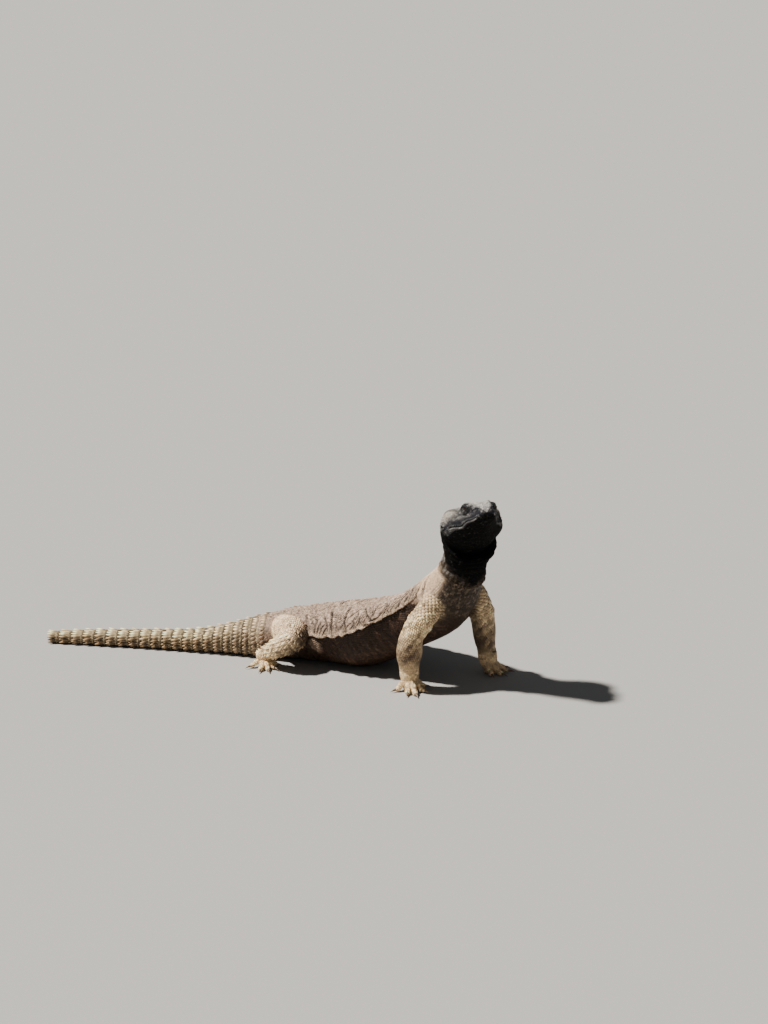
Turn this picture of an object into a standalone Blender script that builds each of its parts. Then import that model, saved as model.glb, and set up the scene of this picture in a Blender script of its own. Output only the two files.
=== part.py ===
"""A spiny-tailed lizard (uromastyx) at life size, raised on its forelegs with its head up.

The body is one lofted form, from the tip of the tail to the snout, parted by thin cuts into tail
lengths, torso, neck and head. Legs, feet, claws and eyes are set against it. Sizes are in millimetres
until a finished mesh is scaled to metres. +X runs towards the head, +Y is the animal's left side.
"""

import math

import bmesh
import bpy
import numpy as np

MM = 0.001
GAP = 0.3
ROOT_GAP = 0.5
CENTRE_X = -12.3
CENTRE_Y = -38.3

# Colours and finishes: red, green, blue, roughness.
FINISHES = {
    "dark_head_skin": (0.055, 0.052, 0.052, 0.75),
    "back_skin": (0.33, 0.26, 0.21, 0.8),
    "leg_skin": (0.52, 0.45, 0.32, 0.75),
    "tail_scales": (0.50, 0.42, 0.27, 0.7),
    "horn": (0.16, 0.12, 0.09, 0.45),
    "eye": (0.02, 0.014, 0.01, 0.08),
}

# The body's rings: x, y, z of the centre, yaw, pitch, half width, height above and depth below it.
BODY = (
    (-271.0, 36.2, 6.2, -7, 0, 7.6, 6.2, 7.2),
    (-215.0, 30.5, 7.8, -7, 0, 11.4, 8.2, 9.0),
    (-155.0, 22.5, 9.2, -8, 0, 13.8, 9.6, 10.5),
    (-95.0, 13.5, 11.4, -8, 0, 18.0, 12.0, 13.0),
    (-38.0, 5.0, 17.8, -8, 1, 25.6, 22.0, 20.2),
    (-0.3, -1.0, 29.5, -10, 4, 35.0, 19.5, 32.0),
    (40.8, -9.7, 39.5, -16, 8, 47.0, 17.0, 42.0),
    (85.4, -26.8, 50.0, -26, 15, 53.0, 17.0, 50.5),
    (126.5, -49.6, 68.0, -37, 28, 46.0, 18.0, 43.5),
    (168.5, -85.0, 99.0, -47, 44, 35.0, 25.0, 36.0),
    (187.0, -104.5, 128.0, -54, 62, 26.5, 25.0, 22.5),
    (191.5, -112.0, 152.0, -60, 70, 23.8, 21.0, 23.5),
    (194.5, -113.0, 170.0, -65, 54, 30.5, 19.0, 28.0),
)

# The head hangs from the tip of its snout. Its rings: distance back, half width, height above, depth below.
SNOUT_TIP = (212.5, -160.5, 216.5)
HEAD_YAW = -68.0
HEAD_PITCH = 30.0
HEAD = (
    (58.0, 31.5, 17.0, 29.5),
    (50.0, 32.8, 17.5, 27.5),
    (42.0, 31.8, 18.0, 23.5),
    (34.0, 28.0, 18.5, 19.0),
    (27.0, 22.5, 18.5, 16.0),
    (20.0, 18.0, 17.5, 13.5),
    (13.0, 15.2, 15.0, 11.2),
    (7.0, 12.7, 11.6, 8.9),
    (3.5, 10.4, 8.8, 6.9),
    (1.3, 7.2, 5.6, 4.6),
    (0.3, 3.8, 2.8, 2.4),
    (0.0, 0.05, 0.05, 0.05),
)

# Places along the body where it is parted, in mm back from the snout, and the tail's cuts.
HEAD_BACK = 56.0
MOUTH_LIFT = -9.0
FOLD_LIFT = 3.0

# Angles above the side line, in degrees, at which a ring has its points, belly to back.
TORSO_LIFTS = (-90, -72, -55, -40, -27, -16, -8, -2, FOLD_LIFT, 9, 17, 27, 38, 50, 63, 76, 90)
HEAD_LIFTS = (-90, -71, -53, -37, -24, -14, MOUTH_LIFT, -4, 4, 13, 23, 34, 45, 56, 67, 78, 90)

# Tail whorls: how many, spine points up each side, and how far a spine reaches back and out of its collar.
WHORLS = 19
TAIL_TEETH = 16
SPINE_BACK = 3.4
SPINE_OUT = 1.9
COLLAR_RISE = 1.1
COLLAR_DIP = 1.3

CLAW_LENGTH = 6.8
THORNS = 9
DOWN = (0.0, 0.0, -1.0)
EYE_RADIUS = 5.0
EYE_PLACE = (-19.0, 13.4, 8.4)
LID_RADIUS = 5.3
LID_THICKNESS = 1.5
NOSTRIL_PLACE = (-4.6, 8.6, 5.2)
EAR_PLACE = (-48.0, 29.8, -1.0)

# Fore legs, by side. Each row: x, y, z, half width, half depth. From inside the chest to the wrist.
NEAR_FORELEG = (
    (172.0, -98.0, 110.0, 14.0, 14.0),
    (159.0, -110.0, 97.5, 14.5, 14.0),
    (143.0, -118.5, 78.5, 12.6, 12.6),
    (133.2, -120.0, 60.5, 12.4, 12.4),
    (131.5, -118.0, 44.0, 13.8, 13.0),
    (131.3, -114.5, 32.5, 12.4, 11.4),
    (131.5, -112.5, 24.0, 10.8, 10.0),
)
FAR_FORELEG = (
    (186.0, -86.0, 110.0, 13.0, 13.0),
    (200.0, -79.0, 99.5, 13.6, 13.6),
    (209.0, -75.0, 80.5, 12.8, 12.8),
    (212.0, -70.5, 62.5, 12.6, 12.2),
    (214.0, -65.5, 44.0, 12.0, 11.6),
    (215.5, -62.0, 32.5, 10.8, 10.4),
    (217.0, -60.0, 24.0, 10.0, 9.6),
)
NEAR_HINDLEG = (
    (-6.0, -12.0, 31.0, 18.5, 17.5),
    (-0.5, -31.0, 36.0, 18.6, 17.2),
    (5.0, -48.5, 40.5, 16.6, 15.8),
    (3.5, -59.0, 36.5, 13.6, 13.2),
    (-8.0, -56.5, 29.0, 11.4, 10.9),
    (-18.5, -48.5, 20.5, 9.3, 8.8),
    (-27.5, -40.0, 13.0, 7.6, 7.2),
)
FAR_HINDLEG = (
    (0.0, 10.0, 25.0, 18.0, 17.0),
    (7.0, 30.0, 22.0, 18.0, 16.0),
    (16.0, 46.0, 19.0, 16.0, 14.5),
    (17.0, 58.0, 19.5, 13.5, 13.0),
    (6.0, 61.0, 20.5, 11.5, 11.0),
    (-6.0, 60.0, 19.5, 9.2, 9.0),
    (-16.0, 58.0, 15.0, 7.6, 7.2),
)

# Toe tips of each foot, outermost toe first, as x and y from the wrist or ankle.
NEAR_FORE_TOES = ((-14.5, -9.0), (-2.0, -20.5), (7.5, -23.0), (17.0, -12.0), (17.5, 4.0))
FAR_FORE_TOES = ((9.0, 15.5), (20.0, 9.0), (24.0, -2.0), (17.0, -13.0), (5.5, -16.0))
NEAR_HIND_TOES = ((-15.0, -9.0), (-4.0, -20.5), (5.0, -20.5), (12.0, -14.0), (14.5, -2.0))
FAR_HIND_TOES = ((-15.0, 5.0), (-7.0, 20.0), (2.0, 21.5), (9.5, 17.5), (14.0, 9.0))


def unit(vectors):
    """The vectors at length one."""
    vectors = np.asarray(vectors, float)
    return vectors / np.maximum(np.linalg.norm(vectors, axis=-1, keepdims=True), 1e-9)


def track(knots, rows, at):
    """A smooth curve through rows, each at its knot, read at the places in at."""
    knots, rows, at = np.asarray(knots, float), np.asarray(rows, float), np.asarray(at, float)
    slopes = np.gradient(rows, knots, axis=0)
    i = np.clip(np.searchsorted(knots, at, side="right") - 1, 0, len(knots) - 2)
    step = (knots[i + 1] - knots[i])[:, None]
    u = ((at - knots[i])[:, None]) / step
    return (
        (2 * u**3 - 3 * u**2 + 1) * rows[i]
        + (u**3 - 2 * u**2 + u) * step * slopes[i]
        + (3 * u**2 - 2 * u**3) * rows[i + 1]
        + (u**3 - u**2) * step * slopes[i + 1]
    )


def axes_of(yaw, pitch):
    """Forward, left and up of a ring that heads by yaw and pitch, in degrees."""
    yaw, pitch = np.radians(yaw), np.radians(pitch)
    level = np.zeros_like(yaw)
    forward = np.stack([np.cos(pitch) * np.cos(yaw), np.cos(pitch) * np.sin(yaw), np.sin(pitch)], -1)
    left = np.stack([-np.sin(yaw), np.cos(yaw), level], -1)
    return forward, left, np.cross(forward, left)


def head_point(place):
    """A place on the head, given forward, left and up of the snout's tip."""
    forward, left, up = axes_of(np.array(HEAD_YAW), np.array(HEAD_PITCH))
    return np.array(SNOUT_TIP) + place[0] * forward + place[1] * left + place[2] * up


def body_rings():
    """Every ring of the body as a row, tail to snout, and how far along each lies."""
    head = [(*head_point((-back, 0, 0)), HEAD_YAW, HEAD_PITCH, *size) for back, *size in HEAD]
    rows = np.array([*BODY, *head])
    steps = np.linalg.norm(np.diff(rows[:, :3], axis=0), axis=1)
    return np.concatenate([[0.0], np.cumsum(steps)]), rows


KNOTS, ROWS = body_rings()
SNOUT_AT = KNOTS[-1]
VENT_AT = KNOTS[4]
NECK_AT = KNOTS[10] - 3.0


def bump(x, middle, below, above):
    """A bell of height one, with its own width on each side of its middle."""
    width = np.where(x < middle, below, above)
    return np.exp(-(((x - middle) / width) ** 2))


def settle(along, lift):
    """Lifts moved so that the grid's rows follow the line of the mouth and the flank's fold."""
    back = SNOUT_AT - along
    mouth = -1.6 * bump(back, 30.0, 5.0, 4.0) + 1.2 * bump(back, 36.5, 3.0, 3.0) - 1.0 * bump(back, 12.0, 6.0, 6.0)
    share = np.clip((along - VENT_AT - 48.0) / (NECK_AT - VENT_AT - 86.0), 0, 1)
    fade = np.clip((NECK_AT - along) / 30.0, 0, 1)
    return lift + mouth * bump(lift, MOUTH_LIFT, 14.0, 14.0) + 15.0 * share * fade * bump(lift, FOLD_LIFT, 34.0, 34.0)


def lateral_fold(along, lift, side):
    """How far the loose skin of the flank stands out, and how far it sags, in mm."""
    start, end = VENT_AT + 48.0, NECK_AT - 38.0
    share = np.clip((along - start) / (end - start), 0, 1)
    size = 6.0 * np.sin(math.pi * share) ** 0.6
    scallop = 1 + 0.25 * np.sin((along - start) * 0.37 + side) + 0.12 * np.sin((along - start) * 0.9)
    edge = FOLD_LIFT + 15.0 * share
    shape = bump(lift, edge, 5.0, 17.0)
    return size * scallop * shape, 0.55 * size * scallop * bump(lift, edge, 5.0, 11.0)


def head_relief(back, lift):
    """How far the head's forms stand out of its plain rings, in mm."""
    mouth_line = MOUTH_LIFT + settle(SNOUT_AT - back, np.full_like(back, MOUTH_LIFT)) - MOUTH_LIFT
    along_mouth = np.clip((back - 0.8) / 1.5, 0, 1) * np.clip((39.0 - back) / 2.5, 0, 1)
    brow = 3.4 * bump(back, 20.0, 8.0, 9.0) * bump(lift, 50.0, 10.0, 12.0)
    canthus = 0.9 * bump(back, 10.0, 5.0, 6.0) * bump(lift, 47.0, 11.0, 11.0)
    crown = -1.3 * bump(back, 22.0, 11.0, 11.0) * bump(lift, 90.0, 22.0, 22.0)
    hollow = -1.2 * bump(back, 20.0, 6.5, 6.5) * bump(lift, 25.0, 9.0, 9.0)
    temple = 1.6 * bump(back, 38.0, 7.0, 9.0) * bump(lift, 22.0, 14.0, 14.0)
    temple = temple + 3.4 * bump(back, 45.0, 7.0, 9.0) * bump(lift, 42.0, 15.0, 17.0)
    notch = -3.2 * bump(back, 32.0, 4.0, 4.5) * bump(lift, 46.0, 14.0, 15.0)
    jowl = 2.8 * bump(back, 47.0, 8.0, 9.0) * bump(lift, -18.0, 18.0, 15.0)
    nostril = 0.9 * bump(back, 5.0, 2.6, 2.6) * bump(lift, 33.0, 13.0, 13.0)
    groove = -1.4 * bump(lift, mouth_line, 2.6, 2.6) * along_mouth
    lips = 0.7 * bump(np.abs(lift - mouth_line), 5.0, 3.0, 4.0) * along_mouth
    chin = 0.8 * bump(back, 6.0, 5.0, 6.0) * bump(lift, -55.0, 25.0, 25.0)
    return brow + canthus + crown + hollow + temple + notch + jowl + nostril + groove + lips + chin


def skin_folds(along, lift, side):
    """Loose folds of the neck, shoulders and flanks, in mm."""
    before = NECK_AT - along
    neck = 0.6 * np.sin((along - NECK_AT) * 0.7 + 0.05 * lift + 0.4 * side) * np.clip((along - NECK_AT + 4) / 12, 0, 1)
    neck = neck * np.clip((SNOUT_AT - HEAD_BACK - along) / 9, 0, 1)
    throat = 1.8 * bump(along, NECK_AT + 8.0, 4.5, 7.0) * bump(lift, -60.0, 30.0, 35.0)
    under_throat = -1.4 * bump(along, NECK_AT - 2.0, 4.0, 4.5) * bump(lift, -60.0, 30.0, 35.0)
    fan = 1.3 * np.sin(before * 0.52 + lift * 0.03) * bump(before, 34.0, 20.0, 24.0) * bump(lift, 42.0, 26.0, 24.0)
    place = along - VENT_AT
    flank_mask = np.clip((place - 40) / 25, 0, 1) * np.clip((before - 46) / 25, 0, 1) * bump(lift, 30.0, 20.0, 26.0)
    flank = 1.0 * np.sin(place * 0.42 + lift * 0.09 + 1.3 * np.sin(place * 0.06 + side)) * flank_mask
    groin = 1.5 * np.sin((place - 38.0) * 0.8) * bump(place, 40.0, 11.0, 11.0) * bump(lift, 12.0, 22.0, 22.0)
    return neck + throat + under_throat + fan + flank + groin


def body_points(along, lift, side):
    """Points of the body's surface: along it in mm, lift above the side line in degrees, side +1 left or -1 right."""
    row = track(KNOTS, ROWS, along)
    forward, left, up = axes_of(row[:, 3], row[:, 4])
    lift_turn = np.radians(lift)
    across = np.maximum(np.cos(lift_turn), 0.0) ** 0.9 * row[:, 5]
    rise = np.sin(lift_turn)
    height = np.where(rise > 0, row[:, 6], row[:, 7]) * np.sign(rise) * np.abs(rise) ** 0.94
    back = SNOUT_AT - along
    relief = skin_folds(along, lift, side) + head_relief(back, lift) * np.clip(back / 2.0, 0, 1)
    fold_out, fold_sag = lateral_fold(along, lift, side)
    across = across + fold_out + relief * np.cos(lift_turn)
    height = height - fold_sag + relief * np.sin(lift_turn)
    points = row[:, :3] + left * (across * side)[:, None] + up * height[:, None]
    points[:, 2] = np.maximum(points[:, 2], 0.0)
    return points


def ring_of(lifts):
    """One turn round the body, from the belly up the left side and down the right, as (lift, side) pairs."""
    up_left = [(lift, 1) for lift in lifts]
    down_right = [(lift, -1) for lift in reversed(lifts[:-1])]
    return up_left + down_right


def add_object(name, mesh_data, finish):
    """A scene object with its own plain material."""
    obj = bpy.data.objects.new(name, mesh_data)
    bpy.context.scene.collection.objects.link(obj)
    material = bpy.data.materials.new(name + "_finish")
    material.use_nodes = True
    shader = material.node_tree.nodes["Principled BSDF"]
    *colour, roughness = FINISHES[finish]
    shader.inputs["Base Color"].default_value = (*colour, 1.0)
    shader.inputs["Roughness"].default_value = roughness
    mesh_data.materials.append(material)
    return obj


def finish_mesh(bm, name, finish):
    """Turns a bmesh in mm into an object in metres, closed and facing out."""
    bmesh.ops.remove_doubles(bm, verts=bm.verts, dist=1e-3)
    open_edges = [edge for edge in bm.edges if edge.is_boundary]
    if open_edges:
        bmesh.ops.holes_fill(bm, edges=open_edges)
    bmesh.ops.dissolve_degenerate(bm, dist=1e-3, edges=bm.edges)
    bmesh.ops.recalc_face_normals(bm, faces=bm.faces)
    bmesh.ops.translate(bm, vec=(-CENTRE_X, -CENTRE_Y, 0.0), verts=bm.verts)
    bmesh.ops.scale(bm, vec=(MM, MM, MM), verts=bm.verts)
    mesh_data = bpy.data.meshes.new(name)
    bm.to_mesh(mesh_data)
    bm.free()
    mesh_data.shade_smooth()
    mesh_data.set_sharp_from_angle(angle=math.radians(50))
    return add_object(name, mesh_data, finish)


def wrapped_grid(rows, columns, place):
    """A grid of rows by columns wrapped into a tube. place(i, j) arrays give its points in mm."""
    bm = bmesh.new()
    bmesh.ops.create_grid(bm, x_segments=rows - 1, y_segments=columns, size=1.0)
    flat = np.array([vert.co[:2] for vert in bm.verts])
    i = np.rint((flat[:, 0] + 1) / 2 * (rows - 1)).astype(int)
    j = np.rint((flat[:, 1] + 1) / 2 * columns).astype(int) % columns
    for vert, point in zip(bm.verts, place(i, j)):
        vert.co = point
    return bm


def body_piece(name, stops, lifts, finish):
    """A length of the body, with rings at the stops and ring points at the lifts."""
    ring = np.array(ring_of(lifts), float)
    stops = np.asarray(stops, float)

    def place(i, j):
        return body_points(stops[i], settle(stops[i], ring[j, 0]), ring[j, 1])

    return finish_mesh(wrapped_grid(len(stops), len(ring), place), name, finish)


def whorl_place(number):
    """How far along the tail a whorl starts: they are longer towards the tip."""
    share = number / WHORLS
    return VENT_AT * (share + 0.13 * share * (1 - share))


def tail_piece(name, first, last):
    """A length of tail with its whorls, each one a collar whose rear edge bears spines that point back and out."""
    lifts = tuple(np.linspace(-90, 90, TAIL_TEETH + 1))
    ring = np.array(ring_of(lifts), float)
    chance = np.random.default_rng(first + 7)
    stops, kinds = [], []
    for whorl in range(first, last):
        base = whorl_place(whorl)
        spacing = whorl_place(whorl + 1) - base
        stops += [base, base + 0.16 * spacing, base + 0.58 * spacing]
        kinds += ["groove", "spines", "swell"]
    stops.append(whorl_place(last) - GAP)
    kinds.append("groove")
    stops, kinds = np.array(stops), np.array(kinds)
    grown = chance.uniform(0.8, 1.2, (len(stops), len(ring)))

    def place(i, j):
        lift, side = ring[j, 0], ring[j, 1]
        at = stops[i]
        spine = (kinds[i] == "spines") & (j % 2 == 0)
        row = track(KNOTS, ROWS, at)
        points = body_points(at, lift, side)
        outward = unit(points - row[:, :3])
        forward = axes_of(row[:, 3], row[:, 4])[0]
        girth = 0.55 + 0.45 * row[:, 5] / ROWS[4, 5]
        reach = grown[i, j] * girth * (0.75 + 0.6 * bump(lift, 12.0, 28.0, 40.0) - 0.6 * (lift < -40))
        back = np.where(spine, SPINE_BACK * reach, 0.0)
        out = np.where(spine, COLLAR_RISE + SPINE_OUT * reach, 0.0)
        out = np.where((kinds[i] == "spines") & ~spine, COLLAR_RISE, out)
        out = np.where(kinds[i] == "groove", -COLLAR_DIP * girth, out)
        points = points + outward * out[:, None] - forward * back[:, None]
        points[:, 2] = np.maximum(points[:, 2], 0.0)
        return points

    return finish_mesh(wrapped_grid(len(stops), len(ring), place), name, "tail_scales")


def limb_frames(rows, start_way, end_way):
    """Tangent and two cross axes at each row of a limb, without twist. An end with a way is cut square to it."""
    rows = np.asarray(rows, float)
    tangent = unit(np.gradient(rows[:, :3], axis=0))
    for near, share in enumerate((1.0, 0.7, 0.3)):
        if start_way is not None:
            tangent[near] += (np.asarray(start_way) - tangent[near]) * share
        if end_way is not None:
            tangent[-1 - near] += (np.asarray(end_way) - tangent[-1 - near]) * share
    tangent = unit(tangent)
    side = unit(np.cross(tangent[0], (0.3, 1.0, 0.2)))
    sides = []
    for direction in tangent:
        side = unit(side - direction * np.dot(side, direction))
        sides.append(side)
    sides = np.array(sides)
    return tangent, sides, np.cross(tangent, sides)


def limb_mesh(rows, rings, points_round, start_way=None, end_way=None):
    """A lofted limb through its rows, as a bmesh in mm, nowhere below the floor."""
    rows = np.asarray(rows, float)
    knots = np.concatenate([[0.0], np.cumsum(np.linalg.norm(np.diff(rows[:, :3], axis=0), axis=1))])
    at = np.linspace(0, knots[-1], rings)
    dense = track(knots, rows, at)
    _, side, other = limb_frames(dense, start_way, end_way)

    def place(i, j):
        turn = 2 * math.pi * j / points_round
        points = (
            dense[i, :3]
            + side[i] * (np.cos(turn) * dense[i, 3])[:, None]
            + other[i] * (np.sin(turn) * dense[i, 4])[:, None]
        )
        points[:, 2] = np.maximum(points[:, 2], 0.0)
        return points

    return wrapped_grid(rings, points_round, place)


def limb(name, rows, rings, points_round, finish):
    return finish_mesh(limb_mesh(rows, rings, points_round, end_way=DOWN), name, finish)


def apply_boolean(obj, cutters, operation, solver="EXACT"):
    """Joins or carves obj by the cutters, keeps the result's largest closed surface, and drops the cutters."""
    group = bpy.data.collections.new(obj.name + "_tools")
    bpy.context.scene.collection.children.link(group)
    for cutter in cutters:
        bpy.context.scene.collection.objects.unlink(cutter)
        group.objects.link(cutter)
    modifier = obj.modifiers.new(operation.lower(), "BOOLEAN")
    modifier.operation = operation
    modifier.operand_type = "COLLECTION"
    modifier.collection = group
    modifier.solver = solver
    graph = bpy.context.evaluated_depsgraph_get()
    made = bpy.data.meshes.new_from_object(obj.evaluated_get(graph), depsgraph=graph)
    obj.modifiers.clear()
    obj.data = made
    for cutter in cutters:
        bpy.data.objects.remove(cutter)
    bpy.data.collections.remove(group)
    keep_largest(obj)


def keep_largest(obj):
    """Drops all but the largest closed surface of the mesh."""
    bm = bmesh.new()
    bm.from_mesh(obj.data)
    left, groups = set(bm.verts), []
    while left:
        seed = left.pop()
        group, edge_front = {seed}, [seed]
        while edge_front:
            vert = edge_front.pop()
            for edge in vert.link_edges:
                other = edge.other_vert(vert)
                if other not in group:
                    group.add(other)
                    edge_front.append(other)
        left -= group
        groups.append(group)
    groups.sort(key=len)
    scraps = [vert for group in groups[:-1] for vert in group]
    if scraps:
        bmesh.ops.delete(bm, geom=scraps, context="VERTS")
    bm.to_mesh(obj.data)
    bm.free()


def inflated_copy(obj, by):
    """A copy of obj grown by a few tenths of a millimetre, to carve the gap beside it."""
    copy = obj.copy()
    copy.data = obj.data.copy()
    bpy.context.scene.collection.objects.link(copy)
    bm = bmesh.new()
    bm.from_mesh(copy.data)
    bm.normal_update()
    moves = [vert.normal * by * MM for vert in bm.verts]
    for vert, move in zip(bm.verts, moves):
        vert.co += move
    bm.to_mesh(copy.data)
    bm.free()
    return copy


def ball(name, centre, radii, segments=16, tilt=0.0):
    """An ellipsoid with its radii along the head's forward, left and up, turned by tilt about forward."""
    bm = bmesh.new()
    bmesh.ops.create_uvsphere(bm, u_segments=segments, v_segments=segments // 2 + 1, radius=1.0)
    turn_to_head(bm, centre, radii, tilt)
    return finish_mesh(bm, name, "eye")


def turn_to_head(bm, centre, radii, tilt):
    """Sets a unit form at a place in the head's own axes, given in mm."""
    forward, left, up = axes_of(np.array(HEAD_YAW), np.array(HEAD_PITCH))
    turn = math.radians(tilt)
    side = left * math.cos(turn) + up * math.sin(turn)
    over = up * math.cos(turn) - left * math.sin(turn)
    for vert in bm.verts:
        x, y, z = np.array(vert.co) * radii
        vert.co = np.array(centre) + x * forward + y * side + z * over


def lid_ring(name, centre, tilt):
    """The lids: a thick ring round the eye, longer than high, that leans with the brow."""
    rows, columns = 16, 6
    bm = bmesh.new()
    bmesh.ops.create_grid(bm, x_segments=rows, y_segments=columns, size=1.0)
    for vert in bm.verts:
        turn = math.pi * vert.co.x
        roll = math.pi * vert.co.y
        reach = LID_RADIUS + LID_THICKNESS * math.cos(roll)
        vert.co = (reach * math.cos(turn) * 1.12, LID_THICKNESS * math.sin(roll), reach * math.sin(turn) * 0.92)
    bmesh.ops.remove_doubles(bm, verts=bm.verts, dist=1e-4)
    turn_to_head(bm, centre, (1.0, 1.0, 1.0), tilt)
    return finish_mesh(bm, name, "dark_head_skin")


def head_and_eyes():
    """The head with its brows, lids, mouth, nostrils and ear openings, and the two eyes."""
    back = [HEAD_BACK - GAP, 52, 48, 44, 40.5, 38.5, 36, 33, 30, 27, 24, 21, 18, 15, 12]
    back += [9.5, 7.3, 5.4, 3.8, 2.5, 1.5, 0.8, 0.3, 0.0]
    stops = [SNOUT_AT - distance for distance in back]
    head = body_piece("head", stops, HEAD_LIFTS, "dark_head_skin")
    lids, pits = [], []
    for side, word in ((1, "left"), (-1, "right")):
        centre = head_point((EYE_PLACE[0], EYE_PLACE[1] * side, EYE_PLACE[2]))
        lid_centre = head_point((EYE_PLACE[0], (EYE_PLACE[1] + 2.4) * side, EYE_PLACE[2] + 0.6))
        nostril = head_point((NOSTRIL_PLACE[0], NOSTRIL_PLACE[1] * side, NOSTRIL_PLACE[2]))
        ear = head_point((EAR_PLACE[0], EAR_PLACE[1] * side, EAR_PLACE[2]))
        ball("eye_" + word, centre, (EYE_RADIUS,) * 3, 12)
        lids.append(lid_ring("lid_" + word, lid_centre, 22.0 * side))
        pits.append(ball("socket_" + word, centre, (EYE_RADIUS + GAP,) * 3, 12))
        pits.append(ball("nostril_" + word, nostril, (1.5, 1.7, 1.1), 8))
        pits.append(ball("ear_" + word, ear, (1.9, 3.2, 4.2), 10))
    apply_boolean(head, lids, "UNION")
    apply_boolean(head, pits, "DIFFERENCE")


def thorns(name, rows, count, seed):
    """Short blunt thorns on the outer side of a hind leg, as closed cones with sunken roots, for joining."""
    rows = np.asarray(rows, float)
    knots = np.concatenate([[0.0], np.cumsum(np.linalg.norm(np.diff(rows[:, :3], axis=0), axis=1))])
    chance = np.random.default_rng(seed)
    outer = 1.0 if rows[-1, 1] > 0 else -1.0
    made = []
    for number in range(count):
        at = knots[-1] * (0.34 + 0.52 * (number + 0.5) / count)
        row = track(knots, rows, np.array([at]))[0]
        nearby = track(knots, rows, np.array([at + 1.0]))[0]
        tangent = unit(nearby[:3] - row[:3])
        across = unit(np.cross(tangent, (0.0, 0.0, 1.0)))
        across = across * np.sign(across[1] * outer)
        over = unit(np.cross(tangent, across) * np.sign(np.cross(tangent, across)[2]))
        swing = math.radians((-20, 12, 40)[number % 3] + chance.uniform(-8, 8))
        out = across * math.cos(swing) + over * math.sin(swing)
        radius = row[3] * 0.9
        root = row[:3] + out * (radius - 1.6)
        tip = row[:3] + out * (row[3] + chance.uniform(1.6, 2.4)) + tangent * 1.2
        path = [(*root, 1.9, 1.9), (*(root * 0.35 + tip * 0.65), 1.1, 1.1), (*tip, 0.2, 0.2)]
        made.append(finish_mesh(limb_mesh(path, 3, 5), f"{name}_thorn_{number}", "leg_skin"))
    return made


def foot(name, wrist, tips, size):
    """A small palm flat under the wrist, and toes that slope from it down to the ground."""
    x, y, z = wrist
    ahead = unit(np.array([*np.mean(tips, axis=0), 0.0]))
    base = np.array([x, y, 0.0])
    rows = [
        (*(base + (0, 0, z - GAP)), 10.6 * size, 9.9 * size),
        (*(base + ahead * 1.5 + (0, 0, z * 0.62)), 10.4 * size, 9.2 * size),
        (*(base + ahead * 4.0 + (0, 0, z * 0.3)), 9.6 * size, 8.2 * size),
        (*(base + ahead * 5.0), 8.6 * size, 7.4 * size),
    ]
    palm = finish_mesh(limb_mesh(rows, 7, 12, start_way=DOWN), name, "leg_skin")
    pieces = []
    for number, tip in enumerate(tips):
        reach = np.array([*tip, 0.0])
        length = np.linalg.norm(reach)
        way = reach / length
        path = [
            (*(base + way * 4.0 + (0, 0, z * 0.5)), 4.0 * size, 3.9 * size),
            (*(base + way * length * 0.5 + (0, 0, 3.4 + z * 0.2)), 3.4 * size, 3.3 * size),
            (*(base + way * length * 0.8 + (0, 0, 3.4)), 3.1 * size, 3.0 * size),
            (*(base + reach + (0, 0, 2.4)), 2.6 * size, 2.5 * size),
        ]
        slope = unit(np.array(path[-1][:3]) - np.array(path[-2][:3]))
        toe = limb_mesh(path, 6, 7, end_way=slope)
        pieces.append(finish_mesh(toe, f"{name}_toe_{number}", "leg_skin"))
        claw(f"{name}_claw_{number + 1}", np.array(path[-1][:3]), slope, 1.9 * size)
    apply_boolean(palm, pieces, "UNION")
    return palm


def claw(name, root, way, radius):
    """A hooked claw that starts a gap past the end of its toe and comes down to the ground."""
    start = root + way * GAP
    level = unit(np.array([way[0], way[1], 0.0]))
    rows = [
        (*start, radius, radius),
        (*(start + way * 0.8), radius * 0.97, radius),
        (*(start + level * CLAW_LENGTH * 0.5), radius * 0.66, radius * 0.74),
        (*(start[:2] + level[:2] * CLAW_LENGTH), 0.5, 0.25, 0.3),
    ]
    bm = limb_mesh(rows, 5, 5, start_way=way)
    for vert in bm.verts:
        vert.co.z = max(vert.co.z, 0.2)
    finish_mesh(bm, name, "horn")


def build():
    for obj in list(bpy.data.objects):
        bpy.data.objects.remove(obj)
    cuts = (0, 5, 10, 14, WHORLS)
    for number in range(4):
        tail_piece(f"tail_{4 - number}", cuts[number], cuts[number + 1])
    torso_stops = np.concatenate([[VENT_AT], np.arange(VENT_AT + 5.2, NECK_AT - 4.0, 5.2), [NECK_AT - GAP]])
    torso = body_piece("torso", torso_stops, TORSO_LIFTS, "back_skin")
    neck_stops = np.linspace(NECK_AT, SNOUT_AT - HEAD_BACK, 15)
    body_piece("neck", neck_stops, TORSO_LIFTS, "back_skin")
    head_and_eyes()
    for name, rows, rings in (
        ("foreleg_right", NEAR_FORELEG, 17),
        ("foreleg_left", FAR_FORELEG, 17),
        ("hindleg_right", NEAR_HINDLEG, 16),
        ("hindleg_left", FAR_HINDLEG, 16),
    ):
        leg = limb(name, rows, rings, 14, "leg_skin")
        if name.startswith("hind"):
            apply_boolean(leg, thorns(name, rows, THORNS, len(name)), "UNION")
        apply_boolean(leg, [inflated_copy(torso, ROOT_GAP)], "DIFFERENCE")
    foot("forefoot_right", NEAR_FORELEG[-1][:3], NEAR_FORE_TOES, 1.0)
    foot("forefoot_left", FAR_FORELEG[-1][:3], FAR_FORE_TOES, 1.0)
    foot("hindfoot_right", NEAR_HINDLEG[-1][:3], NEAR_HIND_TOES, 0.85)
    foot("hindfoot_left", FAR_HINDLEG[-1][:3], FAR_HIND_TOES, 0.85)


build()
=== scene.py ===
"""The looks of a spiny-tailed lizard (uromastyx): one skin, its scales and spines, eyes and claws.

Sizes are in millimetres until a finished mesh is set in metres. The skin follows the solids' own rings, a
scale's depth below their surface. The scales are small closed-looking shells set on that skin in rows.
"""

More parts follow.
